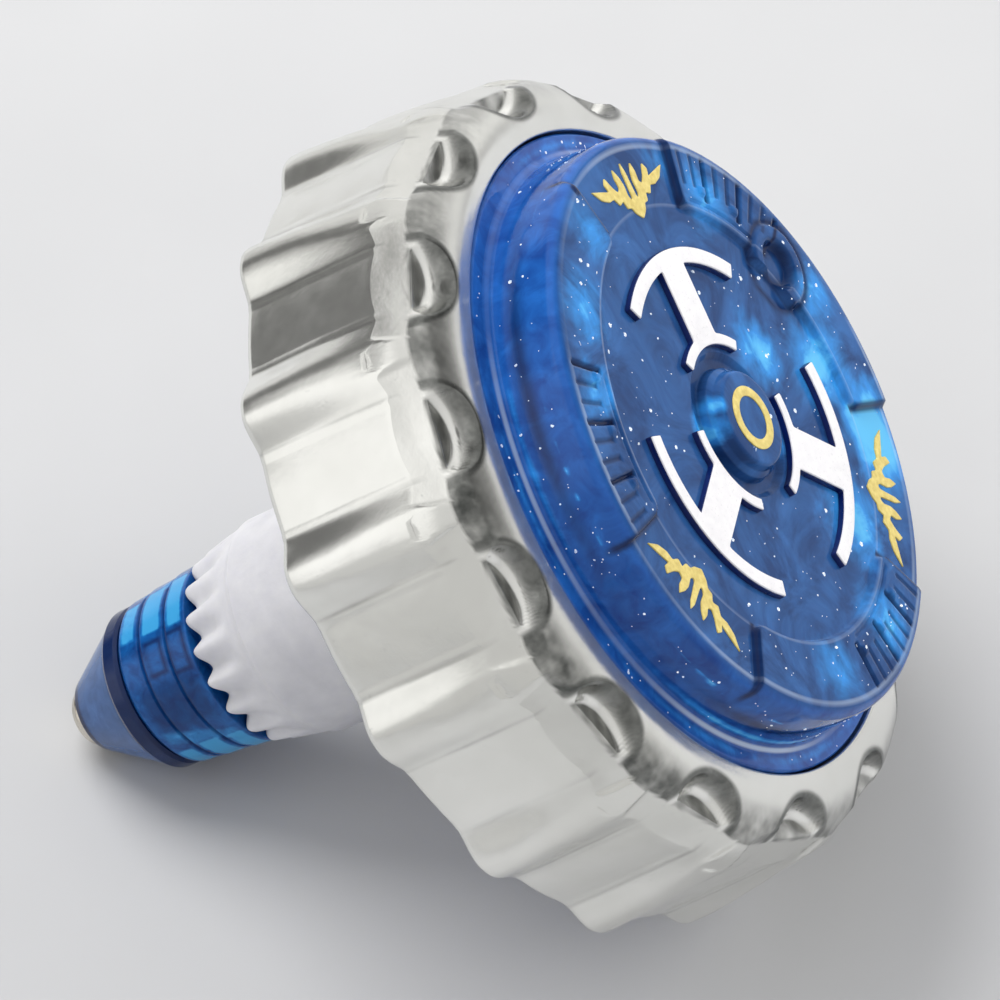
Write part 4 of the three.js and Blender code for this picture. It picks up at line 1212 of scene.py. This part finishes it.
# patches in the surround: direction in the view (right, up, towards the camera),
# inner and outer cone angle, strength
DARK_PATCHES = [((-0.82, 0.58, 0.03), 17, 30, 0.93), ((0.60, 0.62, 0.38), 12, 36, 0.8),
                ((0.68, 0.32, -0.66), 11, 25, 0.92)]
BRIGHT_PATCHES = [((-0.85, 0.18, 0.50), 20, 34, 0.55), ((0.20, 0.75, -0.62), 14, 34, 0.3)]


def build_world():
    """Studio surround that turns with the camera, and a plain grey backdrop."""
    world = bpy.data.worlds.new("studio")
    world.use_nodes = True
    bpy.context.scene.world = world
    tree = Tree(world.node_tree)
    ray = tree.add("ShaderNodeTexCoord").outputs["Generated"]
    ray = tree.add("ShaderNodeVectorTransform", {0: ray}, vector_type="VECTOR",
                   convert_from="WORLD", convert_to="CAMERA").outputs[0]
    ray = tree.add("ShaderNodeVectorMath", {0: ray}, operation="NORMALIZE").outputs[0]

    def patch(direction, inner, outer, strength):
        """strength inside a cone about the direction, 0 outside it."""
        x, y, z = direction
        dot = tree.add("ShaderNodeVectorMath", {0: ray, 1: Vector((x, y, -z)).normalized()},
                       operation="DOT_PRODUCT").outputs["Value"]
        cone = (math.cos(math.radians(outer)), math.cos(math.radians(inner)))
        return tree.times(tree.remap(dot, between=cone, smooth=True), strength)

    height = tree.add("ShaderNodeSeparateXYZ", {0: ray}).outputs[1]
    light = tree.remap(height, between=(-0.4, 0.9), to=(0.75, 0.95))
    for columns in DARK_PATCHES:
        light = tree.times(light, tree.minus(1.0, patch(*columns)))
    for columns in BRIGHT_PATCHES:
        light = tree.plus(light, patch(*columns))
    warm_white, backdrop = (1.0, 0.995, 0.985), (0.70, 0.71, 0.725)
    colour = tree.add("ShaderNodeVectorMath", {0: warm_white, "Scale": light},
                      operation="SCALE").outputs[0]
    seen = tree.add("ShaderNodeLightPath").outputs["Is Camera Ray"]
    tree.output("ShaderNodeOutputWorld", tree.blend_shaders(
        seen, tree.add("ShaderNodeBackground", {"Color": colour, "Strength": 0.84}).outputs[0],
        tree.add("ShaderNodeBackground", {"Color": backdrop, "Strength": 1.0}).outputs[0]))


def softbox(name, position, size, power, lying):
    light = bpy.data.lights.new(name, "AREA")
    light.shape, light.size, light.energy = "DISK", size, power
    light.use_nodes = True
    tree = Tree(light.node_tree)
    emission = tree.add("ShaderNodeEmission", {"Color": (1, 0.99, 0.97),
                                               "Strength": shown(tree, lying)})
    tree.output("ShaderNodeOutputLight", emission.outputs[0])
    lamp = bpy.data.objects.new(name, light)
    bpy.context.scene.collection.objects.link(lamp)
    lamp.location = position
    lamp.visible_glossy = False
    lamp.rotation_mode = "QUATERNION"
    lamp.rotation_quaternion = (MIDDLE - position).to_track_quat("-Z", "Y")


def build_lights():
    right = CAM_FORWARD.cross(-CAM_DOWN).normalized()

    def in_view(x, y, z):
        """Place 0.55 m from the middle: right, up and towards the camera."""
        return MIDDLE + (right * x - CAM_DOWN * y - CAM_FORWARD * z).normalized() * 0.55

    softbox("key_lying", in_view(-0.35, 0.85, 0.35), size=0.40, power=2.3, lying=True)
    softbox("fill_lying", in_view(0.85, 0.5, 0.1), size=0.3, power=1.3, lying=True)
    softbox("key_standing", Vector((-0.27, -0.45, 0.75)), size=0.60, power=5.6, lying=False)
    softbox("fill_standing", Vector((0.60, 0.24, 0.48)), size=0.45, power=3.6, lying=False)


def build_camera():
    camera = bpy.data.cameras.new("camera")
    camera.lens, camera.sensor_width, camera.sensor_fit = CAM_LENS, 36.0, "HORIZONTAL"
    camera.clip_start, camera.clip_end = 0.01, 10
    holder = bpy.data.objects.new("camera", camera)
    bpy.context.scene.collection.objects.link(holder)
    down = (CAM_DOWN - CAM_FORWARD * CAM_DOWN.dot(CAM_FORWARD)).normalized()
    right = down.cross(CAM_FORWARD).normalized()
    matrix = Matrix((right, -down, -CAM_FORWARD)).transposed().to_4x4()
    matrix.translation = CAM_POS
    holder.matrix_world = matrix
    bpy.context.scene.camera = holder


bpy.context.scene.view_settings.view_transform = "Standard"
build_materials()
build_ring()
build_cover()
build_marks()
build_flames()
build_centre_print()
build_glitter()
build_housing()
build_screw_posts()
build_sleeve()
build_stem_and_tip()
build_screws()
dress_nodes()
build_floors()
build_world()
build_lights()
build_camera()
